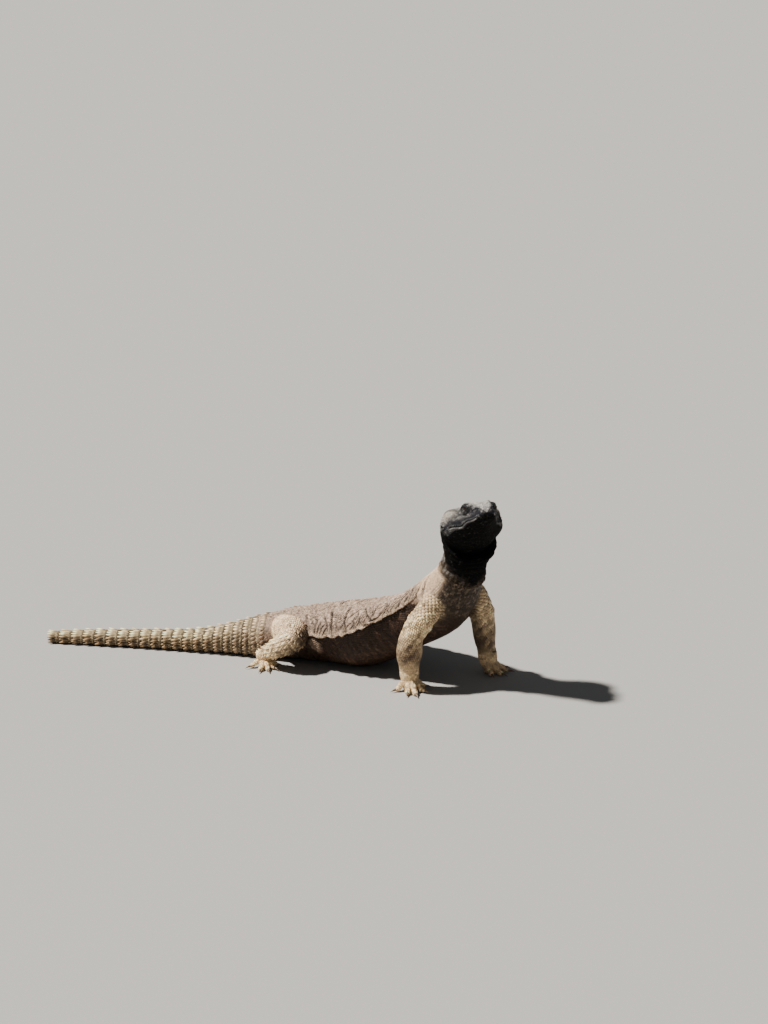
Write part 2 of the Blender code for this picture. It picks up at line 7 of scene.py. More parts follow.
import math

import bmesh
import bpy
import numpy as np
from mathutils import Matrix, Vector
from mathutils.bvhtree import BVHTree
from mathutils.kdtree import KDTree


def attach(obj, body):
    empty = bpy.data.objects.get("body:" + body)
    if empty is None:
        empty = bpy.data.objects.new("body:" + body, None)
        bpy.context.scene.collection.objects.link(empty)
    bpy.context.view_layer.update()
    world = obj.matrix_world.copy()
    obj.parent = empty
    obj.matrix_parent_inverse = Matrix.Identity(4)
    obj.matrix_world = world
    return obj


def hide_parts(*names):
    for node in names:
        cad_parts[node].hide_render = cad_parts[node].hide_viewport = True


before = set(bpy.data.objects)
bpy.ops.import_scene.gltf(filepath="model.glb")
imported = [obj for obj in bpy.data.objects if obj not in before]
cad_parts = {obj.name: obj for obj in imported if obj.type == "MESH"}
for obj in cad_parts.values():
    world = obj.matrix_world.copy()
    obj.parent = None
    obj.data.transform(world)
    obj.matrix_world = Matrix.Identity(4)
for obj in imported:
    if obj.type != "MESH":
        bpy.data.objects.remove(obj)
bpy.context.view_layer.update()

MM = 0.001
CENTRE = np.array([-12.3, -38.3, 0.0])

# The body's rings: x, y, z of the centre, yaw, pitch, half width, height above and depth below it.
BODY = (
    (-271, 36.2, 6.2, -7, 0, 7.6, 6.2, 7.2),
    (-215, 30.5, 7.8, -7, 0, 11.4, 8.2, 9),
    (-155, 22.5, 9.2, -8, 0, 13.8, 9.6, 10.5),
    (-95, 13.5, 11.4, -8, 0, 18, 12, 13),
    (-38, 5, 17.8, -8, 1, 25.6, 22, 20.2),
    (-0.3, -1, 29.5, -10, 4, 35, 19.5, 32),
    (40.8, -9.7, 39.5, -16, 8, 47, 17, 42),
    (85.4, -26.8, 50, -26, 15, 53, 17, 50.5),
    (126.5, -49.6, 68, -37, 28, 46, 18, 43.5),
    (168.5, -85, 99, -47, 44, 35, 25, 36),
    (187, -104.5, 128, -54, 62, 26.5, 25, 22.5),
    (191.5, -112, 152, -60, 70, 23.8, 21, 23.5),
    (194.5, -113, 170, -65, 54, 30.5, 19, 28),
)
SNOUT_TIP = (212.5, -160.5, 216.5)
HEAD_YAW = -68
HEAD_PITCH = 30
# The head's rings: how far back from the snout's tip, half width, height above and depth below the middle.
HEAD = (
    (58, 31.5, 17, 29.5),
    (50, 32.8, 17.5, 27.5),
    (42, 31.8, 18, 23.5),
    (34, 28, 18.5, 19),
    (27, 22.5, 18.5, 16),
    (20, 18, 17.5, 13.5),
    (13, 15.2, 15, 11.2),
    (7, 12.7, 11.6, 8.9),
    (3.5, 10.4, 8.8, 6.9),
    (1.3, 7.2, 5.6, 4.6),
    (0.3, 3.8, 2.8, 2.4),
    (0, 0.05, 0.05, 0.05),
)
HEAD_BACK = 56.0
MOUTH_LIFT = -18.0
FOLD_LIFT = 3.0
WHORLS = 19
# The most triangles in one piece of coat, and a scale's size on the flat map.
PIECE_TRIANGLES, PATCH = 190000, 0.0028

EYE_RADIUS = 5.0
EYE_PLACE = np.array([-19.0, 13.4, 8.4])
EYE_TILT = 22.0
NOSTRIL_PLACE = np.array([-4.6, 8.6, 5.2])
EAR_PLACE = np.array([-48.0, 30.5, -1.0])

# Legs, by row: x, y, z, half width, half depth, from inside the trunk to the wrist or ankle.
LEGS = {
    "foreleg_right": (
        (172, -98, 110, 14, 14),
        (159, -110, 97.5, 14.5, 14),
        (143, -118.5, 78.5, 12.6, 12.6),
        (133.2, -120, 60.5, 12.4, 12.4),
        (131.5, -118, 44, 13.8, 13),
        (131.3, -114.5, 32.5, 12.4, 11.4),
        (131.5, -112.5, 24, 10.8, 10),
    ),
    "foreleg_left": (
        (186, -86, 110, 13, 13),
        (200, -79, 99.5, 13.6, 13.6),
        (209, -75, 80.5, 12.8, 12.8),
        (212, -70.5, 62.5, 12.6, 12.2),
        (214, -65.5, 44, 12, 11.6),
        (215.5, -62, 32.5, 10.8, 10.4),
        (217, -60, 24, 10, 9.6),
    ),
    "hindleg_right": (
        (-6, -12, 31, 18.5, 17.5),
        (-0.5, -31, 36, 18.6, 17.2),
        (5, -48.5, 40.5, 16.6, 15.8),
        (3.5, -59, 36.5, 13.6, 13.2),
        (-8, -56.5, 29, 11.4, 10.9),
        (-18.5, -48.5, 20.5, 9.3, 8.8),
        (-27.5, -40, 13, 7.6, 7.2),
    ),
    "hindleg_left": (
        (0, 10, 25, 18, 17),
        (7, 30, 22, 18, 16),
        (16, 46, 19, 16, 14.5),
        (17, 58, 19.5, 13.5, 13),
        (6, 61, 20.5, 11.5, 11),
        (-6, 60, 19.5, 9.2, 9),
        (-16, 58, 15, 7.6, 7.2),
    ),
}
# Each foot: its leg, how thick it is, and its toe tips, outermost first, as x and y from the wrist or ankle.
FEET = {
    "forefoot_right": ("foreleg_right", 1, ((-14.5, -9), (-2, -20.5), (7.5, -23), (17, -12), (17.5, 4))),
    "forefoot_left": ("foreleg_left", 1, ((9, 15.5), (20, 9), (24, -2), (17, -13), (5.5, -16))),
    "hindfoot_right": ("hindleg_right", 0.85, ((-15, -9), (-4, -20.5), (5, -20.5), (12, -14), (14.5, -2))),
    "hindfoot_left": ("hindleg_left", 0.85, ((-15, 5), (-7, 20), (2, 21.5), (9.5, 17.5), (14, 9))),
}
CLAW_LENGTH = 6.8
GAP = 0.3

# How far the skin lies inside the solids, where scales stand on it.
BODY_INSET = 0.35
TAIL_INSET = 0.9
TOE_INSET = 0.55
# How far off its source a point of the joined skin counts as on a joint, and how wide joints are eased.
JOINT_MOVE, FOOT_EASE, LEG_EASE = 0.004, 2.4, 8.0
# The skin under the scales is darker than they are: painted shade in the gaps between them.
UNDER_SCALES = 0.55
# Rows of scales lie this share of a spacing apart, and are read at this many places across body and limb.
ROW_STEP, BODY_COLUMNS, LIMB_COLUMNS = 0.87, 150, 80
# Rings and columns of the limbs' tubes and of a claw, and the steps at which a limb's centre line is read.
LEG_GRID, PALM_GRID, TOE_GRID, CLAW_RINGS, LIMB_STEPS = (46, 44), (18, 32), (20, 16), 14, 160
# How often the joints' shape is eased and their markings are mixed.
EASE_ROUNDS, MIX_ROUNDS = 14, 8
# The flank's main creases: depth, then places as mm before the vent and lift in degrees, with mm to a degree.
FLANK_MM = 0.85
CREASE_LINES = (
    (0.8, (66, 69), (72, 44), (79, 18)),
    (0.6, (79, 62), (85, 50), (82, 26)),
    (0.6, (93, 60), (98, 44), (106, 20)),
    (1.0, (99, 78), (104, 58), (109, 36), (114, 10)),
    (0.6, (112, 62), (116, 38), (124, 14)),
    (1.0, (121, 82), (124, 58), (128, 34), (136, 14)),
    (0.8, (142, 70), (134, 54), (130, 40)),
    (0.7, (146, 52), (141, 34), (151, 15)),
    (1.0, (146, 72), (156, 50), (163, 36), (174, 17), (186, 21), (199, 32)),
    (0.7, (156, 23), (171, 11), (184, 19)),
    (0.8, (173, 64), (172, 40), (177, 26)),
    (0.7, (186, 60), (192, 40), (205, 28)),
    (0.8, (199, 50), (209, 72)),
    (0.9, (214, 32), (222, 50), (226, 72)),
    (1.0, (229, 25), (238, 46), (247, 68)),
    (1.0, (242, 12), (250, 34), (259, 58)),
    (1.0, (252, 2), (258, 22), (266, 50)),
)
CREASE_WIDTH, SWELL_WIDTH = 2.0, 5.0
# How long the rounded end of the tail is.
TAIL_END = 5.0


def unit(vectors):
    """The vectors at length one."""
    vectors = np.asarray(vectors, float)
    return vectors / np.maximum(np.linalg.norm(vectors, axis=-1, keepdims=True), 1e-9)


def ease(x, low, high):
    """Nought below low, one above high, smooth between."""
    t = np.clip((x - low) / (high - low), 0, 1)
    return t * t * (3 - 2 * t)


def fall(x, low, high):
    """One below low, nought above high, smooth between."""
    return 1 - ease(x, low, high)


def bump(x, middle, below, above):
    """A bell of height one, with its own width on each side of its middle."""
    width = np.where(x < middle, below, above)
    return np.exp(-(((x - middle) / width) ** 2))


def track(knots, rows, at):
    """A smooth curve through rows, each at its knot, read at the places in at."""
    knots, rows, at = np.asarray(knots, float), np.asarray(rows, float), np.asarray(at, float)
    slopes = np.gradient(rows, knots, axis=0)
    i = np.clip(np.searchsorted(knots, at, side="right") - 1, 0, len(knots) - 2)
    step = (knots[i + 1] - knots[i])[:, None]
    u = ((at - knots[i])[:, None]) / step
    return (
        (2 * u**3 - 3 * u**2 + 1) * rows[i]
        + (u**3 - 2 * u**2 + u) * step * slopes[i]
        + (3 * u**2 - 2 * u**3) * rows[i + 1]
        + (u**3 - u**2) * step * slopes[i + 1]
    )


def make_noise(seed, size, octaves=3):
    """A smooth random field of places in mm, about -1 to 1, its largest forms about size across."""
    chance = np.random.default_rng(seed)
    waves = []
    for octave in range(octaves):
        for _ in range(7):
            way = unit(chance.normal(size=3))
            length = size / 2**octave * chance.uniform(0.7, 1.4)
            waves.append((way * 2 * math.pi / length, chance.uniform(0, 2 * math.pi), 0.6**octave))
    total = math.sqrt(sum(share**2 for _, _, share in waves) / 2)

    def field(points):
        value = np.zeros(len(points))
        for way, shift, share in waves:
            value += share * np.sin(points @ way + shift)
        return value / (2.2 * total)

    return field


def axes_of(yaw, pitch):
    """Forward, left and up of a ring that heads by yaw and pitch, in degrees."""
    yaw, pitch = np.radians(yaw), np.radians(pitch)
    level = np.zeros_like(yaw)
    forward = np.stack([np.cos(pitch) * np.cos(yaw), np.cos(pitch) * np.sin(yaw), np.sin(pitch)], -1)
    left = np.stack([-np.sin(yaw), np.cos(yaw), level], -1)
    return forward, left, np.cross(forward, left)


HEAD_AXES = np.array(axes_of(np.array(HEAD_YAW), np.array(HEAD_PITCH)))


def head_point(place):
    """A place on the head, given forward, left and up of the snout's tip."""
    return np.array(SNOUT_TIP) + np.asarray(place, float) @ HEAD_AXES


def body_rings():
    """Every ring of the body as a row, tail to snout, and how far along each lies."""
    head = [(*head_point((-back, 0, 0)), HEAD_YAW, HEAD_PITCH, *size) for back, *size in HEAD]
    rows = np.array([*BODY, *head])
    steps = np.linalg.norm(np.diff(rows[:, :3], axis=0), axis=1)
    return np.concatenate([[0.0], np.cumsum(steps)]), rows


KNOTS, ROWS = body_rings()
SNOUT_AT = KNOTS[-1]
VENT_AT = KNOTS[4]
NECK_AT = KNOTS[10] - 3.0
HEAD_AT = SNOUT_AT - HEAD_BACK
FOLD_START, FOLD_END = VENT_AT + 48.0, NECK_AT - 38.0

PATCHES = make_noise(11, 26.0)
SPECKS = make_noise(12, 7.0, 2)
CREASES = make_noise(13, 34.0, 2)
RIPPLES = make_noise(14, 11.0, 2)
FINE = make_noise(15, 3.2, 2)


def flap_share(along):
    """How far along the flank's flap a place is, 0 to 1."""
    return np.clip((along - FOLD_START) / (FOLD_END - FOLD_START), 0, 1)


def settle(along, lift):
    """Lifts moved so that the grid's rows follow the line of the mouth and the flank's fold."""
    back = SNOUT_AT - along
    mouth = 6 * bump(back, 37, 5.5, 5) - 5.5 * bump(back, 26.5, 3.6, 3.6) + 2.5 * bump(back, 18, 4, 4)
    mouth = mouth - 4 * bump(back, 8, 5, 6)
    fold = 15 * flap_share(along) * np.clip((NECK_AT - along) / 30, 0, 1)
    return lift + mouth * bump(lift, MOUTH_LIFT, 14, 14) + fold * bump(lift, FOLD_LIFT, 34, 34)


def fold_edge(along):
    """The lift of the flank fold's lower edge."""
    return FOLD_LIFT + 6 * bump(along, VENT_AT + 74, 18, 16) + 15 * flap_share(along)


def lateral_fold(along, lift, side):
    """How far the loose skin of the flank stands out, and how far it sags, in mm."""
    place = along - FOLD_START
    scallop = 1 + 0.2 * np.sin(place * 0.34 + side + 1.3 * np.sin(place * 0.071))
    scallop = scallop + 0.05 * np.sin(place * 0.61 + 2)
    size = 6 * np.sin(math.pi * flap_share(along)) ** 0.6 * scallop
    edge = fold_edge(along)
    return size * bump(lift, edge, 4, 17), 0.6 * size * bump(lift, edge, 4, 11)


# The head's forms: height in mm, mm back from the snout with the reach either way, lift with its reach.
HEAD_FORMS = {
    "brow": (3.4, (20, 8, 9), (50, 10, 12)),
    "canthus": (0.9, (10, 5, 6), (47, 11, 11)),
    "crown": (-1.3, (22, 11, 11), (90, 22, 22)),
    "eye hollow": (-1.2, (20, 6.5, 6.5), (25, 9, 9)),
    "temple": (1.6, (38, 7, 9), (22, 14, 14)),
    "upper temple": (3.4, (45, 7, 9), (42, 15, 17)),
    "notch behind the eye": (-3.2, (32, 4, 4.5), (46, 14, 15)),
    "jowl": (2.8, (47, 8, 9), (-18, 18, 15)),
    "nostril": (0.9, (5, 2.6, 2.6), (33, 13, 13)),
    "pleat of the mouth": (-0.8, (41, 1.4, 1.8), (MOUTH_LIFT, 12, 9)),
    "chin": (0.8, (6, 5, 6), (-55, 25, 25)),
}
LIP_HEIGHT, MOUTH_DEPTH = 0.9, 1.7


def mouth_at(along):
    """The lift of the mouth's line."""
    return settle(along, np.full_like(along, MOUTH_LIFT))


def head_relief(back, lift):
    """How far the head's forms stand out of its plain rings, in mm."""
    offset = lift - mouth_at(SNOUT_AT - back)
    mouth = LIP_HEIGHT * bump(np.abs(offset), 4.4, 2.2, 4.6) - MOUTH_DEPTH * bump(offset, 0, 1.5, 1.5)
    mouth = mouth * np.clip((back - 0.8) / 1.5, 0, 1) * np.clip((39.5 - back) / 2, 0, 1)
    forms = HEAD_FORMS.values()
    return mouth + sum(height * bump(back, *place) * bump(lift, *level) for height, place, level in forms)


def crest(phase, sharp=1.6):
    """Rounded ridges with narrow creases between them, from -1 to 1, one to each turn of the phase."""
    return 1 - 2 * np.abs(np.sin(phase / 2 + math.pi / 2)) ** sharp


def groin_web(place, lift):
    """The pale fold that runs from the flank's flap down before the thigh, 0 to 1."""
    return bump(place + 0.3 * lift, 79.0, 9.0, 9.0) * bump(lift, -12.0, 17.0, 13.0)


def loose_creases(along, lift, points):
    """Creases of the loose skin and the swell beside them, each 0 to 1: measured lines and finer ones."""
    before, place = NECK_AT - along, along - VENT_AT
    up = FLANK_MM * lift + 1.2 * RIPPLES(points * 0.45 + 9)
    spot = np.stack([place + 1.6 * RIPPLES(points * 0.5), up], -1)
    deep, swell = np.zeros(len(spot)), np.zeros(len(spot))
    for depth, *ends in CREASE_LINES:
        for number, (start, end) in enumerate(zip(ends[:-1], ends[1:])):
            start, way = np.array(start) * (1, FLANK_MM), np.subtract(end, start) * (1, FLANK_MM)
            share = np.clip((spot - start) @ way / (way @ way), 0, 1)
            reach = np.linalg.norm(spot - start - share[:, None] * way, axis=1)
            taper = depth * (1 - 0.6 * np.abs(2 * (number + share) / (len(ends) - 1) - 1) ** 3)
            deep = np.maximum(deep, taper * np.exp(-((reach / CREASE_WIDTH) ** 2)))
            swell = np.maximum(swell, taper * np.exp(-((reach / SWELL_WIDTH) ** 2)))
    warp, over = CREASES(points), np.maximum(lift - fold_edge(along), 0)
    turns = place / 8.5 - over * 0.03 - (over / 50) ** 2 + 1.1 * warp
    fine = 0.6 * np.exp(-(((turns - np.round(turns)) / 0.17) ** 2))
    fine = fine * ease(over, 2, 9) * fall(over + 16 * warp, 30, 62)
    return np.maximum(deep, fine * ease(place, 50, 66) * ease(before, 20, 40)), swell


def skin_folds(along, lift, side, points):
    """Loose folds and wrinkles of neck, shoulders and flanks, in mm. points are the plain surface's places."""
    past, before, place = along - NECK_AT, NECK_AT - along, along - VENT_AT
    warp = CREASES(points)
    neck = 0.5 * np.sin(past * 0.7 + 0.05 * lift + 0.4 * side + 1.6 * warp)
    neck = neck + 0.35 * crest(past * 1.5 + 0.03 * lift + 3 * warp)
    neck = neck * ease(past, -6, 10) * ease(HEAD_AT - along, 0, 9)
    throat = (1.8 * bump(past, 8, 4.5, 7) - 1.4 * bump(past, -2, 4, 4.5)) * bump(lift, -60, 30, 35)
    deep, swell = loose_creases(along, lift, points)
    flank = (0.1 - 3.6 * deep + 1.3 * swell) * ease(place, 30, 60) * ease(before, 2, 20)
    trunk = ease(before, 10, 40)
    cross = 0.3 * RIPPLES(points * 1.6) * ease(place, 30, 60) * bump(lift, 30, 20, 40) * trunk
    groin = 1.5 * crest((place - 38) * 0.9 + 0.6 * warp) * bump(place, 40, 11, 11) * bump(lift, 12, 22, 22)
    belly = 0.45 * crest(place * 0.75 + 2.5 * warp) * ease(place, 20, 50) * bump(lift, -25, 30, 18) * trunk
    back = 0.35 * crest(place * 1.05 + 3.2 * warp) * ease(place, 10, 40) * bump(lift, 80, 30, 30) * trunk
    chest = 0.5 * crest(before * 0.55 + 3 * warp) * ease(before, 2, 14) * bump(before, 30, 30, 30)
    chest = chest * bump(lift, -50, 40, 40)
    return neck + throat + flank + cross + groin + 2.6 * groin_web(place, lift) + belly + back + chest


def eye_axes(side):
    """An eye's centre, and the ways out of the head and over the eye there."""
    lean = math.radians(EYE_TILT)
    out = HEAD_AXES[1] * side * math.cos(lean) + HEAD_AXES[2] * math.sin(lean)
    return head_point(EYE_PLACE * (1, side, 1)), out, np.cross(HEAD_AXES[0], out) * side


# The opening between the lids: half its height and length, how far it sits below the centre, how deep it is.
SLIT_HIGH, SLIT_LONG, SLIT_LOW, SLIT_DEEP = 2.3, 4.6, 0.35, 2.6


def eye_forms(points):
    """Moves for the skin round the eyes: lids drawn over the eyeball and a slit that opens on it."""
    moves = np.zeros_like(points)
    for side in (1, -1):
        centre, out, over = eye_axes(side)
        offset = points - centre
        ahead, rise, depth = offset @ HEAD_AXES[0], offset @ over, offset @ out
        reach = np.sqrt((ahead / 1.15) ** 2 + rise**2)
        slit = SLIT_HIGH * np.clip(1 - (ahead / SLIT_LONG) ** 2, 0, 1) ** 0.75 - np.abs(rise + SLIT_LOW)
        inside = ease(slit, -0.35, 0.35) * (np.abs(ahead) < SLIT_LONG + 0.1)
        dome = np.sqrt(np.clip((EYE_RADIUS + 0.75) ** 2 - np.minimum(reach, EYE_RADIUS + 0.7) ** 2, 0, None))
        rim = 0.35 * bump(slit, -0.9, 0.8, 0.6)
        rings = 0.16 * np.cos(reach * 4.6) * ease(reach, 2.5, 4)
        move = (dome + rim + rings - inside * SLIT_DEEP - depth) * fall(reach, 4.6, 7.8)
        moves += np.where((reach < 9) & (depth > -1), move, 0)[:, None] * out
    return moves


# Nostril and ear: place, the way out, half sizes, depth and the height of the rim.
OPENINGS = (
    (NOSTRIL_PLACE, (0.35, 0.85, 0.35), (1.15, 1.15, 1.0), 2.0, 0.5),
    (EAR_PLACE, (-0.1, 1.0, 0.0), (1.7, 4.0, 3.4), 2.6, 0.45),
)


def openings(points):
    """Moves for the nostrils and ear openings, each a pit with a raised rim."""
    moves = np.zeros_like(points)
    for side in (1, -1):
        for place, out, size, depth, rim in OPENINGS:
            out = unit(np.array(out) * (1, side, 1))
            offset = points - head_point(place * (1, side, 1))
            level = offset @ HEAD_AXES.T - (offset @ (out @ HEAD_AXES))[:, None] * out
            reach = np.linalg.norm(level / size, axis=1)
            shape = rim * bump(reach, 1.45, 0.35, 0.5) - depth * fall(reach, 0.55, 1.05)
            moves += np.where(np.linalg.norm(offset, axis=1) < 9, shape, 0)[:, None] * (out @ HEAD_AXES)
    return moves


def body_points(along, lift, side, inset=0.0):
    """Points of the body's surface: mm along it, degrees of lift above the side line, side +1 left, -1 right."""
    along, lift, side = (np.asarray(value, float) for value in (along, lift, side))
    row = track(KNOTS, ROWS, along)
    row[:, 5:] *= np.sqrt(np.clip(1 - (1 - np.clip(along / TAIL_END, 0, 1)) ** 2, 0.003, 1))[:, None]
    _, left, up = axes_of(row[:, 3], row[:, 4])
    turn = np.radians(lift)
    across = np.maximum(np.cos(turn), 0.0) ** 0.9 * row[:, 5]
    rise = np.sin(turn)
    height = np.where(rise > 0, row[:, 6], row[:, 7]) * np.sign(rise) * np.abs(rise) ** 0.94
    plain = row[:, :3] + left * (across * side)[:, None] + up * height[:, None]
    back = SNOUT_AT - along
    relief = skin_folds(along, lift, side, plain) + head_relief(back, lift) * np.clip(back / 2.0, 0, 1)
    relief = relief - inset * np.clip(back / 3.0, 0, 1) * np.clip(along / TAIL_END, 0, 1)
    fold_out, fold_sag = lateral_fold(along, lift, side)
    across = across + fold_out + relief * np.cos(turn)
    height = height - fold_sag + relief * np.sin(turn)
    points = row[:, :3] + left * (across * side)[:, None] + up * height[:, None]
    on_head = back < HEAD_BACK + 2
    if on_head.any():
        points[on_head] += eye_forms(points[on_head]) + openings(points[on_head])
    points[:, 2] = np.maximum(points[:, 2], 0.0)
    return points


def whorl_place(number):
    """How far along the tail a whorl starts: they are longer towards the tip."""
    share = number / WHORLS
    return VENT_AT * (share + 0.13 * share * (1 - share))


def whorl_turn(along):
    """Which whorl a place on the tail is in, with the share of it that lies behind, as one number."""
    shares = np.arange(WHORLS + 3.0)
    return np.interp(along, whorl_place(shares), shares)


def tail_profile(along):
    """How far the tail's core stands out of its grooves over one whorl, in mm."""
    turn = whorl_turn(along) % 1.0
    girth = 0.5 + 0.5 * along / VENT_AT
    rise = ease(turn, 0.02, 0.2) * (1 - 0.75 * ease(turn, 0.2, 1.0))
    return girth * (1.5 * rise - 1.1) * ease(VENT_AT - along, -2, 6)


def to_scene(points):
    """Places in mm, of the modelled pose, as metres of the shared frame."""
    return (np.asarray(points) - CENTRE) * MM


def new_object(name, data):
    """An object of its own in the scene."""
    obj = bpy.data.objects.new(name, data)
    bpy.context.scene.collection.objects.link(obj)
    return obj


def object_of(bm, name):
    """An object made from a bmesh."""
    mesh = bpy.data.meshes.new(name)
    bm.to_mesh(mesh)
    bm.free()
    return new_object(name, mesh)


def tube(name, rings, columns, place):
    """A closed tube from a wrapped grid. place(i, j) gives the points of ring i and column j in mm."""
    bm = bmesh.new()
    bmesh.ops.create_grid(bm, x_segments=rings - 1, y_segments=columns, size=1.0)
    flat = np.array([vert.co[:2] for vert in bm.verts])
    i = np.rint((flat[:, 0] + 1) / 2 * (rings - 1)).astype(int)
    j = np.rint((flat[:, 1] + 1) / 2 * columns).astype(int) % columns
    for vert, point in zip(bm.verts, to_scene(place(i, j))):
        vert.co = point
    bmesh.ops.remove_doubles(bm, verts=bm.verts, dist=2e-6)
    bmesh.ops.holes_fill(bm, edges=[edge for edge in bm.edges if edge.is_boundary])
    bmesh.ops.dissolve_degenerate(bm, dist=1e-6, edges=bm.edges)
    bmesh.ops.recalc_face_normals(bm, faces=bm.faces)
    return object_of(bm, name)


def column_lifts():
    """Lifts of the ring's columns on one side, belly to back, closest at the mouth's and the fold's height."""
    belly, flank, back = np.linspace(-90, -34, 16), np.linspace(-34, 8, 37), np.linspace(8, 90, 49)
    return np.concatenate([belly[:-1], flank[:-1], back])


def body_stops():
    """How far along the body its rings lie."""
    tail = whorl_place((np.arange(WHORLS)[:, None] + np.array([0.0, 0.1, 0.2, 0.45, 0.75])).ravel())
    tail = np.sort(np.concatenate([tail, TAIL_END * np.array([0.01, 0.05, 0.12])]))
    trunk = np.linspace(VENT_AT, NECK_AT, 222)
    neck = np.linspace(NECK_AT, HEAD_AT, 36)[1:]
    head = SNOUT_AT - np.concatenate([np.linspace(HEAD_BACK, 6, 62)[1:], np.linspace(6, 0, 12)[1:]])
    return np.concatenate([tail, trunk, neck, head])


def body_tube():
    """The body's own skin, tail to snout."""
    half = column_lifts()
    lifts = np.concatenate([half, half[-2:0:-1]])
    sides = np.concatenate([np.ones(len(half)), -np.ones(len(half) - 2)])
    stops = body_stops()

    def place(i, j):
        along = stops[i]
        tail = BODY_INSET - tail_profile(along) + (TAIL_INSET - BODY_INSET) * ease(VENT_AT - along, 0, 8)
        inset = np.where(along < VENT_AT + 4, tail, BODY_INSET)
        return body_points(along, settle(along, lifts[j]), sides[j], inset)

    return tube("body_tube", len(stops), len(lifts), place)


def limb_track(rows, at, start_way=None, end_way=None):
    """A limb's length, and its centre line and cross axes at the shares of that length in at."""
    rows = np.asarray(rows, float)
    knots = np.concatenate([[0], np.cumsum(np.linalg.norm(np.diff(rows[:, :3], axis=0), axis=1))])
    length = knots[-1]
    places = np.linspace(0, length, LIMB_STEPS)
    dense = track(knots, rows, places)
    tangent = unit(np.gradient(dense[:, :3], axis=0))
    for way, end in ((start_way, places), (end_way, length - places)):
        if way is not None:
            tangent = unit(tangent + (np.asarray(way) - tangent) * fall(end, 0, 0.18 * length)[:, None])
    side = unit(np.cross(tangent[0], (0.3, 1.0, 0.2)))
    sides = []
    for direction in tangent:
        side = unit(side - direction * np.dot(side, direction))
        sides.append(side)
    wanted = np.asarray(at, float) * length
    read = lambda table: np.stack([np.interp(wanted, places, column) for column in table.T], -1)
    return length, read(dense), unit(read(np.array(sides))), unit(read(np.cross(tangent, sides)))


def round_limb(rows, share, turn, grow, closing=1.0, **ways):
    """Points round a limb's centre line, by share of its length and turn about it, grown in mm and closed."""
    _, dense, side, other = limb_track(rows, share, **ways)
    across = side * (np.cos(turn) * (dense[:, 3] + grow) * closing)[:, None]
    points = dense[:, :3] + across + other * (np.sin(turn) * (dense[:, 4] + grow) * closing)[:, None]
    points[:, 2] = np.maximum(points[:, 2], 0)
    return points


DOWN = np.array([0.0, 0.0, -1.0])


def leg_bulge(name, share, turn):
    """Muscle, joint and fold forms of a leg, in mm, by share of its length and turn about it."""
    elbow = 1.6 * bump(share, 0.47, 0.07, 0.08)
    creases = 0.5 * crest(share * 62.0 + 1.4 * np.sin(turn * 2)) * bump(share, 0.46, 0.12, 0.12)
    muscle = 0.9 * bump(share, 0.66, 0.1, 0.13) * (0.6 + 0.4 * np.cos(turn))
    wrist = 0.35 * crest(share * 80.0 + np.sin(turn * 3)) * ease(share, 0.86, 0.94)
    if name.startswith("fore"):
        return elbow + creases + muscle + wrist - 0.3
    return 0.8 * creases + 0.5 * muscle + wrist


def leg_points(name, share, turn):
    """Points of a leg's surface."""
    return round_limb(LEGS[name], share, turn, leg_bulge(name, share, turn) - BODY_INSET, end_way=DOWN)


def foot_paths(name):
    """The rows of a foot's palm, and of each toe with the way it ends."""
    leg, size, tips = FEET[name]
    x, y, z = LEGS[leg][-1][:3]
    ahead = unit(np.array([*np.mean(tips, axis=0), 0]))
    base = np.array([x, y, 0])
    row = lambda offset, height, wide, deep: (*(base + offset + (0, 0, height)), wide * size, deep * size)
    palm = [
        row(ahead * 0, z + 2, 10.4, 9.7),
        row(ahead * 1.5, z * 0.62, 10.3, 9.1),
        row(ahead * 4, z * 0.3, 9.5, 8.1),
        row(ahead * 5, 0, 8.5, 7.3),
    ]
    toes = []
    for tip in tips:
        reach = np.array([*tip, 0])
        length = np.linalg.norm(reach)
        way = reach / length
        path = [
            row(way * 4, z * 0.5, 4.0, 3.9),
            row(way * length * 0.5, 3.4 + z * 0.2, 3.4, 3.3),
            row(way * length * 0.8, 3.4, 3.1, 3.0),
            row(reach, 2.4, 2.6, 2.5),
        ]
        toes.append((path, unit(np.array(path[-1][:3]) - np.array(path[-2][:3]))))
    return palm, toes, size


def toe_points(path, slope, share, turn):
    """Points of a toe's surface, with a knuckle and pads."""
    knuckle = 0.45 * bump(share, 0.5, 0.08, 0.08) + 0.35 * bump(share, 0.8, 0.06, 0.06)
    grow = knuckle - 0.25 * bump(share, 0.66, 0.06, 0.06) + 0.1 * crest(share * 60) - TOE_INSET
    return round_limb(path, share, turn, grow, 1 - 0.42 * ease(share, 0.9, 1) ** 2, end_way=slope)


def palm_points(path, share, turn):
    """Points of a palm's surface, as wide as the leg at its top and slimmer below."""
    return round_limb(path, share, turn, -0.1 - 0.9 * ease(share, 0.25, 0.7), start_way=DOWN, end_way=DOWN)


def limb_tube(name, rings, columns, surface):
    """A closed tube of a limb from its surface function of share and turn."""
    return tube(name, rings, columns, lambda i, j: surface(i / (rings - 1), 2 * math.pi * j / columns))


def mesh_arrays(mesh):
    """A mesh's points in mm of the modelled pose, and its edges."""
    points, edges = np.empty(len(mesh.vertices) * 3), np.empty(len(mesh.edges) * 2, int)
    mesh.vertices.foreach_get("co", points)
    mesh.edges.foreach_get("vertices", edges)
    return points.reshape(-1, 3) / MM + CENTRE, edges.reshape(-1, 2)


def tree_over(points):
    """A tree that finds the nearest of the points."""
    tree = KDTree(len(points))
    for number, point in enumerate(points):
        tree.insert(point, number)
    tree.balance()
    return tree


